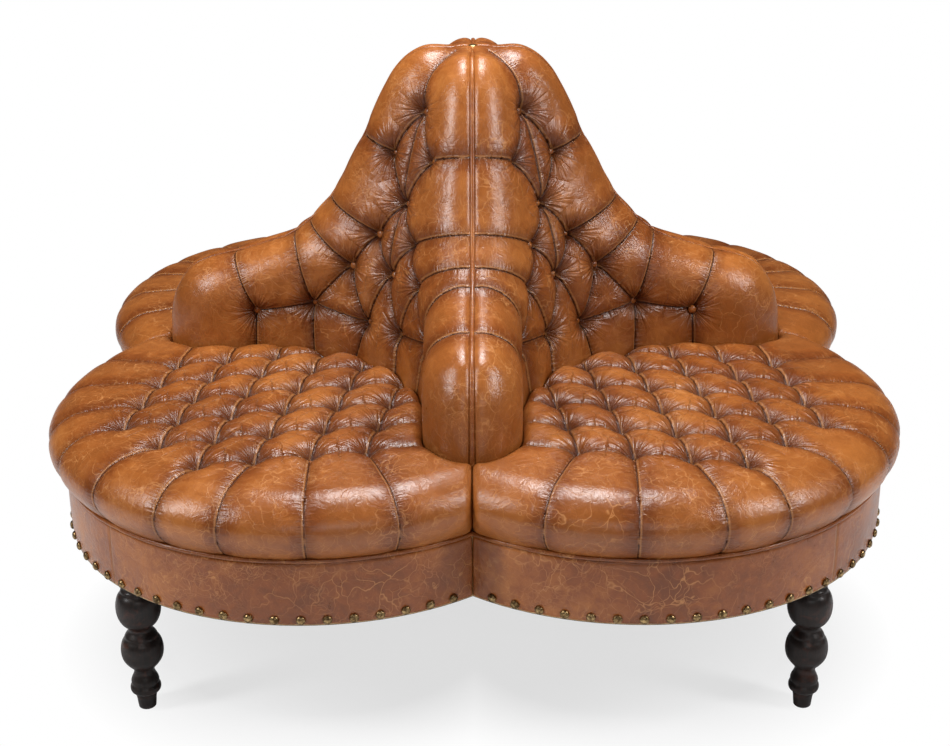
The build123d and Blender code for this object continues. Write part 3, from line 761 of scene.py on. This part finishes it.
def folds(graph, colour, height):
    """Painted shade in the valleys and dents, with some darker dye in the creases, a black-brown line of
    painted shade along each pleat with a painted highlight on the lip beside it, paler stretched crests,
    and the small wrinkles that run to the buttons and across the pleats."""
    seam, side, run, near = [graph.mark(name) for name in ("seam", "side", "run", "button")]
    fold = graph.range(seam, 0.0055, 0.0004)
    valley = graph.range(seam, 0.024, 0.001)
    # A thin black-brown line of painted shade in each pleat; the same mask cuts the groove in the bump.
    pleat_groove_and_shade = graph.range(seam, 0.0014, 0.0004)
    dent = graph.range(near, 0.042, 0.004)
    # The lip band beside each pleat: a bead in the bump and a painted highlight in the colour.
    lip = side * graph.range(seam, 0.0012, 0.0024) * graph.range(seam, 0.0054, 0.0034)
    crest = graph.range(seam, 0.020, 0.042)
    # Painted shade: the fold, the valley and the dent round each button are darkened towards the dark tan,
    # with some darker dye in the creases.
    colour = graph.mix((fold * 0.40 + valley * 0.46 + dent * 0.50).clamped(), colour, (*TAN_DARK, 1.0))
    # Painted shade along each pleat line, a painted highlight in the pale scuff tone on the lip, and paler
    # stretched crests.
    for amount, tone in ((pleat_groove_and_shade * 0.80, BLACK_BROWN), (lip * 0.40, SCUFF_AND_SHEEN), (crest * 0.26, TAN_LIGHT)):
        colour = graph.mix(amount, colour, (*tone, 1.0))
    gathers = graph.noise(graph.mark("pull", 1), 5.2, 2.0, 0.5, 0.2) * graph.range(near, 0.064, 0.012)
    beside = graph.node("ShaderNodeCombineXYZ", {}, {"X": run * 230.0, "Y": seam * 26.0})
    puckers = graph.noise(beside, 1.0, 2.0, 0.5)
    puckers = puckers * graph.range(seam, 0.024, 0.002) * graph.range(near, 0.012, 0.034)
    return colour, height + gathers * 8.0 + puckers * 1.8 + lip * 0.45 - pleat_groove_and_shade * 1.1


def leather(name, tufted=False, seamed=False, shade=1.0):
    """Waxed tan hide. tufted and seamed read the marks that their meshes carry; shade darkens it."""
    graph = Graph(name)
    place = place_of(graph)
    colour, mottle = clouds(graph, place)
    inputs = {"Vector": place, "Scale": 14.0, "Detail": 3.0}
    bent = graph.node("ShaderNodeTexNoise", {}, inputs, 1)
    swayed = graph.vector("MULTIPLY_ADD", bent, (0.10, 0.10, 0.10), place)
    scuffs = crackle(graph, swayed)
    colour = graph.mix(scuffs * 0.62, colour, (*SCUFF_AND_SHEEN, 1.0))
    flecks = graph.range(graph.noise(place, 260.0, 2.0, 0.6), 0.60, 0.78)
    colour = graph.mix(flecks * 0.22, colour, (*TAN_LIGHT, 1.0))
    grain = graph.noise(place, 620.0, 2.0, 0.5)
    crease = graph.noise(swayed, 55.0, 4.0, 0.55, 1.2)
    height = grain * 0.05 + crease * 0.85 + scuffs * 0.05
    if tufted:
        colour, height = folds(graph, colour, height)
    if seamed:
        line = graph.mark("seam")
        colour = graph.mix(graph.range(line, 0.0022, 0.0004) * 0.75, colour, (*BLACK_BROWN, 1.0))
        colour = graph.mix(graph.range(line, 0.006, 0.0025) * 0.16, colour, (*SCUFF_AND_SHEEN, 1.0))
    if shade != 1.0:
        colour = graph.mix(1.0, colour, (shade, shade, shade, 1.0), "MULTIPLY")
    rough = 0.22 + 0.18 * mottle + 0.10 * scuffs
    normal = graph.bump(height, 0.55, BUMP_DEPTH)
    return graph.finish({"Base Color": colour, "Roughness": rough, "Normal": normal,
                         "Specular IOR Level": 0.50})


tufted_leather = leather("tufted_leather", tufted=True)
plain_leather = leather("plain_leather")

# %% [markdown]
# Now the cushions themselves. The net gives about one point every three millimetres. Points beside a
# pleat are moved onto it, then every point sinks along its normal by the depth of its fold, and the
# same mesh is turned for the four quarters.

# %% Seat pads
PAD_CELL, SNAP_REACH = 0.0034, 0.62
ON_FORM, SINK_FADE = 0.0006, 0.004
SEAT_EDGE, SEAT_PILLOW, SEAT_DIMPLE = 0.002, 0.048, 0.011


def tufted_pad(name, pad_field, form_field, low, high, pleats, buttons, cut_gap, width, dimple, lip_way):
    """Net, settle, snap and sink: gives points, quads and the marks of one quarter."""
    points, quads = surface_net(pad_field, low, high, PAD_CELL)
    points = settle(pad_field, points)
    on_form = np.abs(form_field(*points.T)) < ON_FORM
    points[on_form] = snap_to_pleats(points[on_form], pleats, PAD_CELL * SNAP_REACH, pad_field)
    normals = normals_of(form_field, points)
    sink, marks = tuft_leather(points, pleats, buttons, width, dimple, lip_way)
    free = np.clip((np.minimum(points[:, 0], points[:, 1]) - cut_gap) / SINK_FADE, 0, 1)
    free *= np.clip(form_field(*points.T) / -SINK_FADE + 1, 0, 1)
    sunk = points - normals * (sink * free)[:, None]
    print(name, len(points), "points, deepest fold", round(float(sink.max()) * 1000, 1), "mm")
    return sunk, quads, marks


seat_low, seat_high = (-0.004, -0.004, 0.365), (0.79, 0.79, 0.52)
seat_shape = tufted_pad("seat pad", seat_pad_field, seat_field, seat_low, seat_high, seat_pleats,
                        list(seat_buttons.values()), SEAT_EDGE, SEAT_PILLOW, SEAT_DIMPLE, outward_lip)
points, quads, marks = seat_shape
for pad in all_round("tufted_seat", "seat_pad", "leather", points, quads, tufted_leather, marks):
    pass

# %% Back pads
BACK_PILLOW, BACK_DIMPLE = 0.046, 0.010
rear_low, rear_high = (-0.004, -0.004, 0.362), (0.615, 0.615, 1.085)
back_shape = tufted_pad("back pad", back_pad_field, back_field, rear_low, rear_high, back_pleats,
                        back_buttons, BAND_HALF, BACK_PILLOW, BACK_DIMPLE, upper_lip)
points, quads, marks = back_shape
for pad in all_round("tufted_back", "back_pad", "leather", points, quads, tufted_leather, marks):
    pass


# %% [markdown]
# A narrow band covers the joint of the two pads along each ridge. It is a folded strip of the same
# hide, stitched down along both edges, so it reads as a half-round cord between two dark grooves.

# %% Ridge bands
BAND_COUNT, BAND_RING = 360, 14
BAND_RISE, BAND_FOOT, BAND_END = 0.0036, 0.004, 0.425
TOP_SHARE, SOLE_SHARE = 0.86, 0.7


def band_section():
    """A half round on a flat foot: (w cos a, h sin^0.7 a) for the top, back along the foot."""
    turn = np.linspace(0, math.pi, BAND_RING - 3)
    top = np.stack([np.cos(turn) * BAND_HALF * TOP_SHARE, np.sin(turn)**0.7 * BAND_RISE], axis=1)
    foot = np.stack([np.linspace(-1, 1, 5)[1:-1] * BAND_HALF * SOLE_SHARE, np.full(3, -BAND_FOOT)], axis=1)
    return np.concatenate([top, foot])


def sweep(path, across, outward, section):
    """Carries a section (width, height) along a path: p + width * across + height * outward."""
    width, height = section[None, :, :1], section[None, :, 1:]
    points = path[:, None] + width * across[:, None] + height * outward[:, None]
    return points.reshape(-1, 3), tube_faces(len(path), len(section))


def band_path():
    """The ridge curve from the apex to the nose, evenly stepped, with its outward direction."""
    path = smooth_path(RIDGE, 1200)
    path = path[path[:, 1] > BAND_END]
    path = path[np.linspace(0, len(path) - 1, BAND_COUNT).astype(int)]
    run = np.gradient(path, axis=0)
    run /= np.linalg.norm(run, axis=1)[:, None]
    out = np.stack([-run[:, 1], run[:, 0]], axis=1)
    return path, out


ridge_line, ridge_out = band_path()
band_points = np.stack([ridge_line[:, 0], np.zeros(BAND_COUNT), ridge_line[:, 1]], axis=1)
band_out = np.stack([ridge_out[:, 0], np.zeros(BAND_COUNT), ridge_out[:, 1]], axis=1)
band_across = np.tile([0.0, 1.0, 0.0], (BAND_COUNT, 1))
band_mesh, band_faces = sweep(band_points, band_across, band_out, band_section())
all_round("stitched_band", "ridge_band", "leather", band_mesh, band_faces, plain_leather, turns=WINGS)
print("band of", BAND_COUNT, "steps")

# %% [markdown]
# Buttons and nail heads are the same small dome many times over. One dome is worked out once as
# rings round an axis, and whole arrays of centres and facing directions copy it into one mesh.

# %% Domes
def dome(sides, profile):
    """Rings of a profile (radius, height) about the z axis, closed at the tip and at the foot."""
    turn = np.arange(sides) / sides * 2 * math.pi
    rings = [np.stack([r * np.cos(turn), r * np.sin(turn), np.full(sides, z)], axis=1) for r, z in profile]
    points = np.concatenate(rings + [np.array([[0, 0, profile[-1][1]]])])
    last = (len(profile) - 1) * sides
    fan = [(last + k, last + (k + 1) % sides, last + sides) for k in range(sides)]
    return points, tube_faces(len(profile), sides)[:-1] + fan


def facing_frames(facings):
    """Three axes for each facing: two square to it and the facing itself."""
    facings = facings / np.linalg.norm(facings, axis=1)[:, None]
    helper = np.where(np.abs(facings[:, 2:]) < 0.9, [[0.0, 0.0, 1.0]], [[1.0, 0.0, 0.0]])
    side = np.cross(helper, facings)
    side /= np.linalg.norm(side, axis=1)[:, None]
    return np.stack([side, np.cross(facings, side), facings], axis=1)


def scatter(points, faces, centres, facings):
    """Copies a shape to each centre: centre + x side + y up + z facing."""
    frames = facing_frames(facings)
    placed = centres[:, None] + np.einsum("pk,nkc->npc", points, frames)
    starts = np.arange(len(centres))[:, None] * len(points)
    return placed.reshape(-1, 3), [copy for face in faces for copy in (np.array(face) + starts).tolist()]


# %% Covered buttons
BUTTON_RADIUS, BUTTON_LIFT = 0.0085, 0.001
EVERY, DEPTH_WEIGHT = 3, 0.2
BUTTON_PROFILE = [(0.86, -0.004), (1.0, -0.0005), (0.97, 0.0016), (0.82, 0.0038), (0.52, 0.0055),
                  (0.2, 0.0062)]
button_shape = dome(14, [(BUTTON_RADIUS * share, z) for share, z in BUTTON_PROFILE])


def seat_of_button(places, field, shape_points):
    """Where the buttons stand: the nearest sunk point of the pad, with the pad's facing before it sank."""
    facings = normals_of(field, places)
    inside = places[:, None] - shape_points[None, ::EVERY]
    lateral = inside - (inside * facings[:, None]).sum(axis=2, keepdims=True) * facings[:, None]
    nearest = np.linalg.norm(lateral, axis=2) + DEPTH_WEIGHT * np.linalg.norm(inside, axis=2)
    floors = shape_points[::EVERY][nearest.argmin(axis=1)]
    depth = ((places - floors) * facings).sum(axis=1)
    return places - facings * (depth - BUTTON_LIFT)[:, None], facings


for kind, places, field, shape in (("seat", np.array(list(seat_buttons.values())), seat_field, seat_shape),
                                   ("back", np.array(back_buttons), back_field, back_shape)):
    centres, facings = seat_of_button(places, field, shape[0])
    points, faces = scatter(*button_shape, centres, facings)
    all_round(f"covered_buttons_{kind}", f"{kind}_buttons", "leather", points, faces, plain_leather)
    print(kind, len(places), "buttons a quarter")

# %% [markdown]
# The skirt is one strip of hide round each lobe, glued over the base walls and turned under at the
# foot. It is never quite flat: it swells a little between the nails, and each lobe has one upright
# seam over its leg. Above it runs a welt, a covered cord that hides where the seat cover and the
# skirt meet.

# %% Skirts
CUSP = math.pi / 4 + math.asin(SEAT_SPREAD / SKIRT_RADIUS)
NAIL_COUNT, NAIL_HEIGHT, NAIL_MARGIN = 30, 0.271, math.radians(4.75)
NAIL_SWING = CUSP - NAIL_MARGIN
nail_turns = NAIL_SWING * np.linspace(-1, 1, NAIL_COUNT)
SKIRT_LOW, SKIRT_HIGH = skirt_low.z, skirt_high.z
SKIRT_INSET, SKIRT_DEPTH, CUSP_GAP = 0.0006, 0.0048, 0.0012
SWELLING, FOOT_TUCK, TOP_TUCK, NAIL_DIP, SEAM_PINCH = 0.0012, 0.0022, 0.0020, 0.0012, 0.0022
FOOT_SPAN, TOP_SPAN, DIP_SPAN, DIP_HEIGHT, PINCH_SPAN = 0.018, 0.02, 0.011, 0.012, 0.0022
LONG_WAVE, SHORT_WAVE = 0.0005, 0.0003


def lobe_points(radius, turn, z):
    """Points round the rear right lobe: turn is counted from its outer diagonal."""
    angle = turn + math.pi / 4
    x, y = SEAT_SPREAD + radius * np.cos(angle), SEAT_SPREAD + radius * np.sin(angle)
    return np.stack([x, y, z], axis=-1)


def skirt_mesh():
    """Grid of turn and section. The section runs up the outside, over the top, down the inside and
    under the foot; it swells by 1.2 mm at mid height, dips at the nails and pinches at the seam."""
    columns, outside = 560, 26
    edge = CUSP - CUSP_GAP
    turn = np.linspace(-edge, edge, columns)
    up = np.linspace(0, 1, outside)
    z_out = SKIRT_LOW + (SKIRT_HIGH - SKIRT_LOW) * up
    swelling = SWELLING * np.sin(np.pi * up)**0.8
    foot = -FOOT_TUCK * np.exp(-(up / FOOT_SPAN)**2)
    top = -TOP_TUCK * np.exp(-((1 - up) / TOP_SPAN)**2)
    wave = SHORT_WAVE * np.sin(turn * 31 + 1.7 * np.sin(turn * 7)) + LONG_WAVE * np.sin(turn * 11 + 0.6)
    gap = np.abs(turn[:, None] - nail_turns).min(axis=1) * SKIRT_RADIUS
    dips = np.exp(-(gap[:, None] / DIP_SPAN)**2 - ((z_out - NAIL_HEIGHT) / DIP_HEIGHT)**2) * -NAIL_DIP
    pinch = -SEAM_PINCH * np.exp(-(turn * SKIRT_RADIUS / PINCH_SPAN)**2)[:, None]
    offset = (swelling + foot + top)[None] + wave[:, None] * np.sin(np.pi * up) + dips + pinch
    grid_turn, grid_z = np.broadcast_arrays(turn[:, None], z_out[None])
    outer = lobe_points(SKIRT_RADIUS - SKIRT_INSET + offset, grid_turn, grid_z)
    inner = lobe_points(np.full_like(grid_z, SKIRT_RADIUS - SKIRT_DEPTH), grid_turn, grid_z)[:, ::-1]
    section = np.concatenate([outer, inner], axis=1)
    marks = np.minimum(np.abs(grid_turn) * SKIRT_RADIUS, FAR_OFF)
    marks = np.concatenate([marks, np.ones_like(marks)], axis=1).ravel()
    return section.reshape(-1, 3), tube_faces(*section.shape[:2], flip=True), {"seam": marks}


# %% Welts
WELT_RADIUS, WELT_HEIGHT, WELT_OUT, WELT_GAP = 0.0039, SKIRT_HIGH + 0.0040, 0.0004, 0.0015
WELT_WAVER, WELT_SAG = 0.05, 0.0003


def welt_mesh():
    """A cord with a slight waver: a circle carried round the lobe, closed at both cusps."""
    count, ring = 480, 12
    turn = np.linspace(-CUSP + WELT_GAP, CUSP - WELT_GAP, count)
    roll = np.arange(ring) / ring * 2 * math.pi
    radius = WELT_RADIUS * (1 + WELT_WAVER * np.sin(turn * 57 + 2.0 * np.sin(turn * 13)))
    out = SKIRT_RADIUS + WELT_OUT + radius[:, None] * np.cos(roll)
    height = WELT_HEIGHT + WELT_SAG * np.sin(turn * 19)[:, None] + radius[:, None] * np.sin(roll)
    points = lobe_points(out, np.broadcast_to(turn[:, None], out.shape), height).reshape(-1, 3)
    return points, tube_faces(count, ring, flip=True)


skirt_points, skirt_faces, skirt_marks = skirt_mesh()
skirt_leather = leather("skirt_leather", seamed=True)
all_round("hide_skirt", "skirt", "leather", skirt_points, skirt_faces, skirt_leather, skirt_marks)
all_round("corded_welt", "welt", "leather", *welt_mesh(), leather("welt_leather", shade=0.86))
print("skirts from", round(SKIRT_LOW, 3), "to", round(SKIRT_HIGH, 3))

# %% [markdown]
# The legs are turned: two round balls and a small foot, parted by necks and thin beads. A lathe
# surface is a profile carried once round the leg's axis. The profile is a smooth curve through
# widths at a row of heights, which lie closer together at the beads.

# %% Turned legs
LEG_HEIGHT = leg_high.z
BALL = (leg_high.x - leg_low.x) / 2
LEG_PROFILE = np.array([
    (0.000, 0.000), (0.50, 0.000), (0.615, 0.006), (0.64, 0.020), (0.70, 0.075), (0.745, 0.108),
    (0.735, 0.113), (0.735, 0.116), (0.80, 0.119), (0.93, 0.126), (1.06, 0.140), (1.10, 0.158),
    (1.07, 0.176), (0.98, 0.187), (0.965, 0.192), (0.97, 0.198), (1.00, 0.206), (0.98, 0.222),
    (0.88, 0.246), (0.78, 0.266), (0.735, 0.284), (0.74, 0.300), (0.86, 0.318), (1.15, 0.350),
    (1.42, 0.392), (1.52, 0.440), (1.50, 0.478), (1.36, 0.524), (1.20, 0.548), (1.17, 0.553),
    (1.175, 0.558), (1.14, 0.566), (0.98, 0.588), (0.86, 0.606), (0.85, 0.618), (0.95, 0.634),
    (1.25, 0.664), (1.50, 0.712), (1.60, 0.770), (1.56, 0.822), (1.38, 0.872), (1.18, 0.898),
    (1.16, 0.903), (1.165, 0.908), (1.06, 0.920), (0.98, 0.934), (1.02, 0.955), (1.25, 0.980),
    (1.35, 1.000), (0.000, 1.000)])
LEG_SIDES, WIDEST_SHARE = 72, 1.60


def lathe(profile, sides, centre):
    """A profile (radius, height) turned about an upright axis: (r cos a, r sin a, z), ends closed."""
    turn = np.arange(sides) / sides * 2 * math.pi
    ring = profile[1:-1]
    x = centre[0] + ring[:, :1] * np.cos(turn)
    y = centre[1] + ring[:, :1] * np.sin(turn)
    z = np.repeat(ring[:, 1:], sides, axis=1)
    return np.stack([x, y, z], axis=-1).reshape(-1, 3), tube_faces(len(ring), sides)


def leg_profile():
    """The table holds shares of the foot's radius and of the leg's height; the curve is smooth."""
    scaled = LEG_PROFILE[1:-1] * np.array([BALL / WIDEST_SHARE, LEG_HEIGHT])
    body = smooth_path(scaled, 150)
    return np.concatenate([[(0, 0)], body, [(0, LEG_HEIGHT)]])


# %% [markdown]
# The other finishes: satin espresso legs, antique brass, plywood edges, planed frame wood, foam, jute
# webbing, black dust cloth and steel. The hidden pieces keep the frame's own shapes.

# %% Woods
def stained_wood(name, dark, light, rub, rub_amount, rough=0.36):
    """Wood with its grain along the upright axis, worn through to a warmer tone in places."""
    graph = Graph(name)
    place = place_of(graph)
    along = graph.node("ShaderNodeMapping", {}, {"Vector": place, "Scale": (60.0, 60.0, 3.0)})
    grain = graph.noise(along, 3.0, 5.0, 0.6, 0.7)
    colour = graph.ramp(graph.range(grain, 0.32, 0.70), [(0.0, dark), (1.0, light)])
    worn = graph.range(graph.noise(place, 42.0, 4.0, 0.65, 0.6), 0.53, 0.72)
    colour = graph.mix(worn * rub_amount, colour, (*rub, 1.0))
    normal = graph.bump(grain + worn * 0.4, 0.25, 0.0012)
    return graph.finish({"Base Color": colour, "Roughness": rough + 0.16 * grain - 0.05 * worn,
                         "Normal": normal, "Coat Weight": 0.12, "Coat Roughness": 0.15,
                         "Specular IOR Level": 0.3})


def plywood():
    """Sheet wood with thin plies that show as lines at the edges, stacked by height."""
    graph = Graph("plywood")
    place = place_of(graph)
    plies = graph.node("ShaderNodeTexWave", {"bands_direction": "Z", "wave_profile": "SIN"},
                       {"Vector": place, "Scale": 105.0, "Distortion": 0.4, "Detail": 1.0}, 1)
    along = graph.node("ShaderNodeMapping", {}, {"Vector": place, "Scale": (6.0, 60.0, 60.0)})
    grain = graph.noise(along, 4.0, 4.0, 0.6, 0.4)
    colour = graph.ramp(graph.range(plies * 0.45 + grain * 0.55, 0.2, 0.8),
                        [(0.0, (0.33, 0.19, 0.085)), (1.0, (0.60, 0.42, 0.23))])
    normal = graph.bump(grain, 0.3, 0.0008)
    return graph.finish({"Base Color": colour, "Roughness": 0.62 + 0.2 * grain, "Normal": normal})


leg_tones = (0.006, 0.004, 0.0035), (0.020, 0.010, 0.007), (0.085, 0.022, 0.010)
leg_finish = stained_wood("espresso_wood", *leg_tones, 0.55)
frame_tones = (0.36, 0.22, 0.11), (0.58, 0.40, 0.22), (0.50, 0.33, 0.18)
frame_finish = stained_wood("frame_wood", *frame_tones, 0.3, rough=0.6)
ply_finish = plywood()

leg_points, leg_faces = lathe(leg_profile(), LEG_SIDES, (LEG_SPREAD, LEG_SPREAD))
all_round("turned_leg", "leg", "leg_wood", leg_points, leg_faces, leg_finish)
print("legs", round(BALL * 2000), "mm across the balls")

# %% Metals, foam and cloths
def worn_metal(name, dark, light, rough):
    """Metal with a dull tarnish in patches and fine rubbing."""
    graph = Graph(name)
    place = place_of(graph)
    patches = graph.noise(place, 150.0, 4.0, 0.6, 0.5)
    rubbing = graph.noise(place, 900.0, 2.0, 0.5)
    tarnish = graph.range(patches, 0.38, 0.66)
    colour = graph.ramp(tarnish, [(0.0, dark), (1.0, light)])
    normal = graph.bump(patches * 0.5 + rubbing * 0.3, 0.25, 0.0006)
    return graph.finish({"Base Color": colour, "Metallic": 1.0, "Normal": normal,
                         "Roughness": rough + 0.22 * (1 - tarnish)})


def woven(name, dark, light, pitch):
    """Plain weave: two crossed sets of threads, sin(x) against sin(y)."""
    graph = Graph(name)
    place = place_of(graph)
    x, y = [graph.node("ShaderNodeSeparateXYZ", {}, {"Vector": place}, axis) for axis in (0, 1)]
    turn = 2 * math.pi / pitch
    threads = ((x * turn).sine() * (y * turn).sine()) * 0.5 + 0.5
    fuzz = graph.noise(place, 500.0, 3.0, 0.6)
    colour = graph.ramp(graph.range(threads * 0.6 + fuzz * 0.4, 0.2, 0.8), [(0.0, dark), (1.0, light)])
    normal = graph.bump(threads, 0.5, 0.0008)
    return graph.finish({"Base Color": colour, "Roughness": 0.85 + 0.1 * fuzz, "Normal": normal})


def open_foam():
    """Yellowish foam with fine open cells."""
    graph = Graph("foam")
    place = place_of(graph)
    cells = graph.node("ShaderNodeTexVoronoi", {}, {"Vector": place, "Scale": 420.0})
    blush = graph.noise(place, 7.0, 3.0)
    colour = graph.ramp(graph.range(cells * 0.6 + blush * 0.4, 0.15, 0.7),
                        [(0.0, (0.55, 0.42, 0.20)), (1.0, (0.80, 0.70, 0.44))])
    normal = graph.bump(cells, 0.6, 0.0010)
    return graph.finish({"Base Color": colour, "Roughness": 0.9 + 0.05 * blush, "Normal": normal})


brass_finish = worn_metal("antique_brass", (0.085, 0.050, 0.022), (0.44, 0.30, 0.14), 0.26)
steel_finish = worn_metal("zinc_steel", (0.30, 0.30, 0.30), (0.60, 0.60, 0.59), 0.32)
webbing_finish = woven("jute_webbing", (0.20, 0.13, 0.06), (0.52, 0.38, 0.20), 0.0032)
cloth_finish = woven("black_dust_cloth", (0.008, 0.008, 0.009), (0.035, 0.035, 0.036), 0.0016)
foam_finish = open_foam()

# %% [markdown]
# The nail heads are antique brass, dulled by tarnish in patches. One larger nail pins the ridge bands
# where they cross at the apex.

# %% Nail heads
NAIL_RADIUS, NAIL_STAND, CROWN_STAND = 0.0080, 0.0002, 0.0012
NAIL_PROFILE = [(0.93, -0.0012), (1.0, 0.0002), (0.975, 0.0013), (0.86, 0.0027), (0.62, 0.0041),
                (0.30, 0.0048)]
CROWN_PROFILE = [(0.0095, -0.002), (0.0104, 0.0), (0.0100, 0.0018), (0.0086, 0.0034), (0.0060, 0.0047),
                 (0.0028, 0.0054)]
nail_shape = dome(16, [(NAIL_RADIUS * share, z) for share, z in NAIL_PROFILE])
nail_centres = lobe_points(SKIRT_RADIUS + NAIL_STAND, nail_turns, np.full(NAIL_COUNT, NAIL_HEIGHT))
nail_facings = nail_centres - np.array([SEAT_SPREAD, SEAT_SPREAD, NAIL_HEIGHT])
nail_points, nail_faces = scatter(*nail_shape, nail_centres, nail_facings)
all_round("brass_nails", "nailheads", "nail_brass", nail_points, nail_faces, brass_finish)

apex, straight_up = np.array([[0.0, 0.0, BACK_TOP + CROWN_STAND]]), np.array([[0.0, 0.0, 1.0]])
crown_points, crown_faces = scatter(*dome(32, CROWN_PROFILE), apex, straight_up)
crown = make_mesh("brass_crown_nail", crown_points, crown_faces, brass_finish)
finish_piece(crown, "crown_nail")
print(4 * NAIL_COUNT, "nail heads and one at the crown")

SLOT_FINISHES = {
    "leather": plain_leather, "nail_brass": brass_finish, "leg_wood": leg_finish, "plywood": ply_finish,
    "frame_wood": frame_finish, "foam": foam_finish, "webbing": webbing_finish, "black_cloth": cloth_finish,
    "steel": steel_finish,
}
SLOT_WORDS = (("base_posts", "frame_wood"), ("nail", "nail_brass"), ("leg_rear", "leg_wood"),
              ("leg_front", "leg_wood"), ("base_", "plywood"), ("back_panel", "plywood"),
              ("rail", "frame_wood"), ("leg_blocks", "frame_wood"), ("back_cleats", "frame_wood"),
              ("back_corner", "frame_wood"), ("screws", "steel"), ("bolts", "steel"), ("foam", "foam"),
              ("webbing", "webbing"), ("dust", "black_cloth"), ("", "leather"))


def finish_for(node):
    """The finish of a frame node, by the first word in the list that its name holds."""
    return next(slot for word, slot in SLOT_WORDS if word in node)


for node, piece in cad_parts.items():
    finish = SLOT_FINISHES[finish_for(node)]
    if not piece.material_slots:
        piece.data.materials.append(finish)
    for slot in piece.material_slots:
        slot.material = finish
print(len(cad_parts), "frame nodes have their finishes")


# %% [markdown]
# The stage is a pale floor that keeps the sofa's soft shadow and runs out into white. The light is a
# photographer's: one box overhead, two tall boxes high at the sides, which draw the bright streaks on
# the rolled edges, and a broad weak box in front. A row of LAMPS holds the lamp's name, its place,
# the point it faces, its width, its height and its power in watts.

# %% Floor
def pale_floor():
    """Pale matt floor under the sofa, white to the camera further out."""
    graph = Graph("studio_floor")
    place = place_of(graph)
    folded = graph.vector("ABSOLUTE", place)
    shifted = graph.vector("SUBTRACT", folded, (SEAT_SPREAD, SEAT_SPREAD, 0.0))
    away = graph.vector("LENGTH", shifted, output=1)
    seen = graph.node("ShaderNodeLightPath", output="Is Camera Ray")
    speck = graph.noise(place, 30.0, 3.0)
    tone = graph.mix(speck, (0.84, 0.84, 0.85, 1.0), (0.88, 0.88, 0.885, 1.0))
    matt = graph.node("ShaderNodeBsdfPrincipled", {}, {"Base Color": tone, "Roughness": 0.8 + 0.1 * speck})
    glow = graph.node("ShaderNodeEmission", {}, {"Color": (1.0, 1.0, 1.0, 1.0), "Strength": 1.0})
    fade = graph.range(away, 0.33, 0.52, 0.70, 1.0)
    mixed = graph.node("ShaderNodeMixShader", {}, {0: seen * fade, 1: matt, 2: glow})
    graph.tree.links.new(mixed, graph.output.inputs["Surface"])
    return graph.material


FLOOR_HALF = 7.0
floor_points = FLOOR_HALF * np.array([(-1, -1, 0), (1, -1, 0), (1, 1, 0), (-1, 1, 0)])
floor = make_mesh("studio_floor", floor_points, [(0, 1, 2, 3)], pale_floor(), smooth=False)


# %% Lights and background
LAMPS = (("overhead_box", (0.0, 0.2, 3.0), (0, 0, 0.4), 1.0, 0.9, 70),
         ("left_box", (-2.6, -1.5, 2.6), (0, 0, 0.7), 0.5, 1.6, 66),
         ("right_box", (2.6, -1.4, 2.5), (0, 0, 0.7), 0.5, 1.6, 58),
         ("front_fill", (0.2, -4.0, 2.0), (0, 0, 0.4), 2.4, 1.2, 20))
AMBIENT = 0.045


def soft_box(name, place, aim, width, height, power):
    """A rectangular area lamp that faces a point."""
    lamp = bpy.data.lights.new(name, "AREA")
    lamp.shape, lamp.size, lamp.size_y, lamp.energy = "RECTANGLE", width, height, power
    holder = bpy.data.objects.new(name, lamp)
    bpy.context.scene.collection.objects.link(holder)
    holder.location = place
    holder.rotation_euler = (Vector(aim) - Vector(place)).to_track_quat("-Z", "Y").to_euler()


for lamp in LAMPS:
    soft_box(*lamp)

world = bpy.data.worlds.new("studio_air")
bpy.context.scene.world = world
world.use_nodes = True
air = world.node_tree
air.nodes.clear()
ray = air.nodes.new("ShaderNodeLightPath")
backdrop, ambient = [air.nodes.new("ShaderNodeBackground") for _ in range(2)]
for part, strength in ((backdrop, 1.0), (ambient, AMBIENT)):
    part.inputs["Color"].default_value, part.inputs["Strength"].default_value = (1, 1, 1, 1), strength
choice = air.nodes.new("ShaderNodeMixShader")
ending = air.nodes.new("ShaderNodeOutputWorld")
air.links.new(ray.outputs["Is Camera Ray"], choice.inputs[0])
air.links.new(ambient.outputs[0], choice.inputs[1])
air.links.new(backdrop.outputs[0], choice.inputs[2])
air.links.new(choice.outputs[0], ending.inputs[0])

# %% [markdown]
# The camera stands a little right of the front, three metres away, and looks down on the seats. Its
# place and lens were worked out from the sofa's known sizes in the photograph.

# %% Camera
EYE, AIM, LENS, ROLL_OF_CAMERA = (0.0282, -3.0060, 1.6136), (0.0, 0.0, 0.4018), 60.70, -0.41
camera_data = bpy.data.cameras.new("photo_camera")
camera_data.sensor_fit, camera_data.sensor_width, camera_data.lens = "HORIZONTAL", 36.0, LENS
camera = bpy.data.objects.new("photo_camera", camera_data)
bpy.context.scene.collection.objects.link(camera)
level = (Vector(AIM) - Vector(EYE)).to_track_quat("-Z", "Y").to_matrix().to_4x4()
roll = Matrix.Rotation(math.radians(ROLL_OF_CAMERA), 4, "Z")
camera.matrix_world = Matrix.Translation(Vector(EYE)) @ level @ roll
bpy.context.scene.camera = camera
bpy.context.scene.view_settings.view_transform = "Standard"
print("camera", [round(v, 3) for v in camera.location], "lens", camera_data.lens)
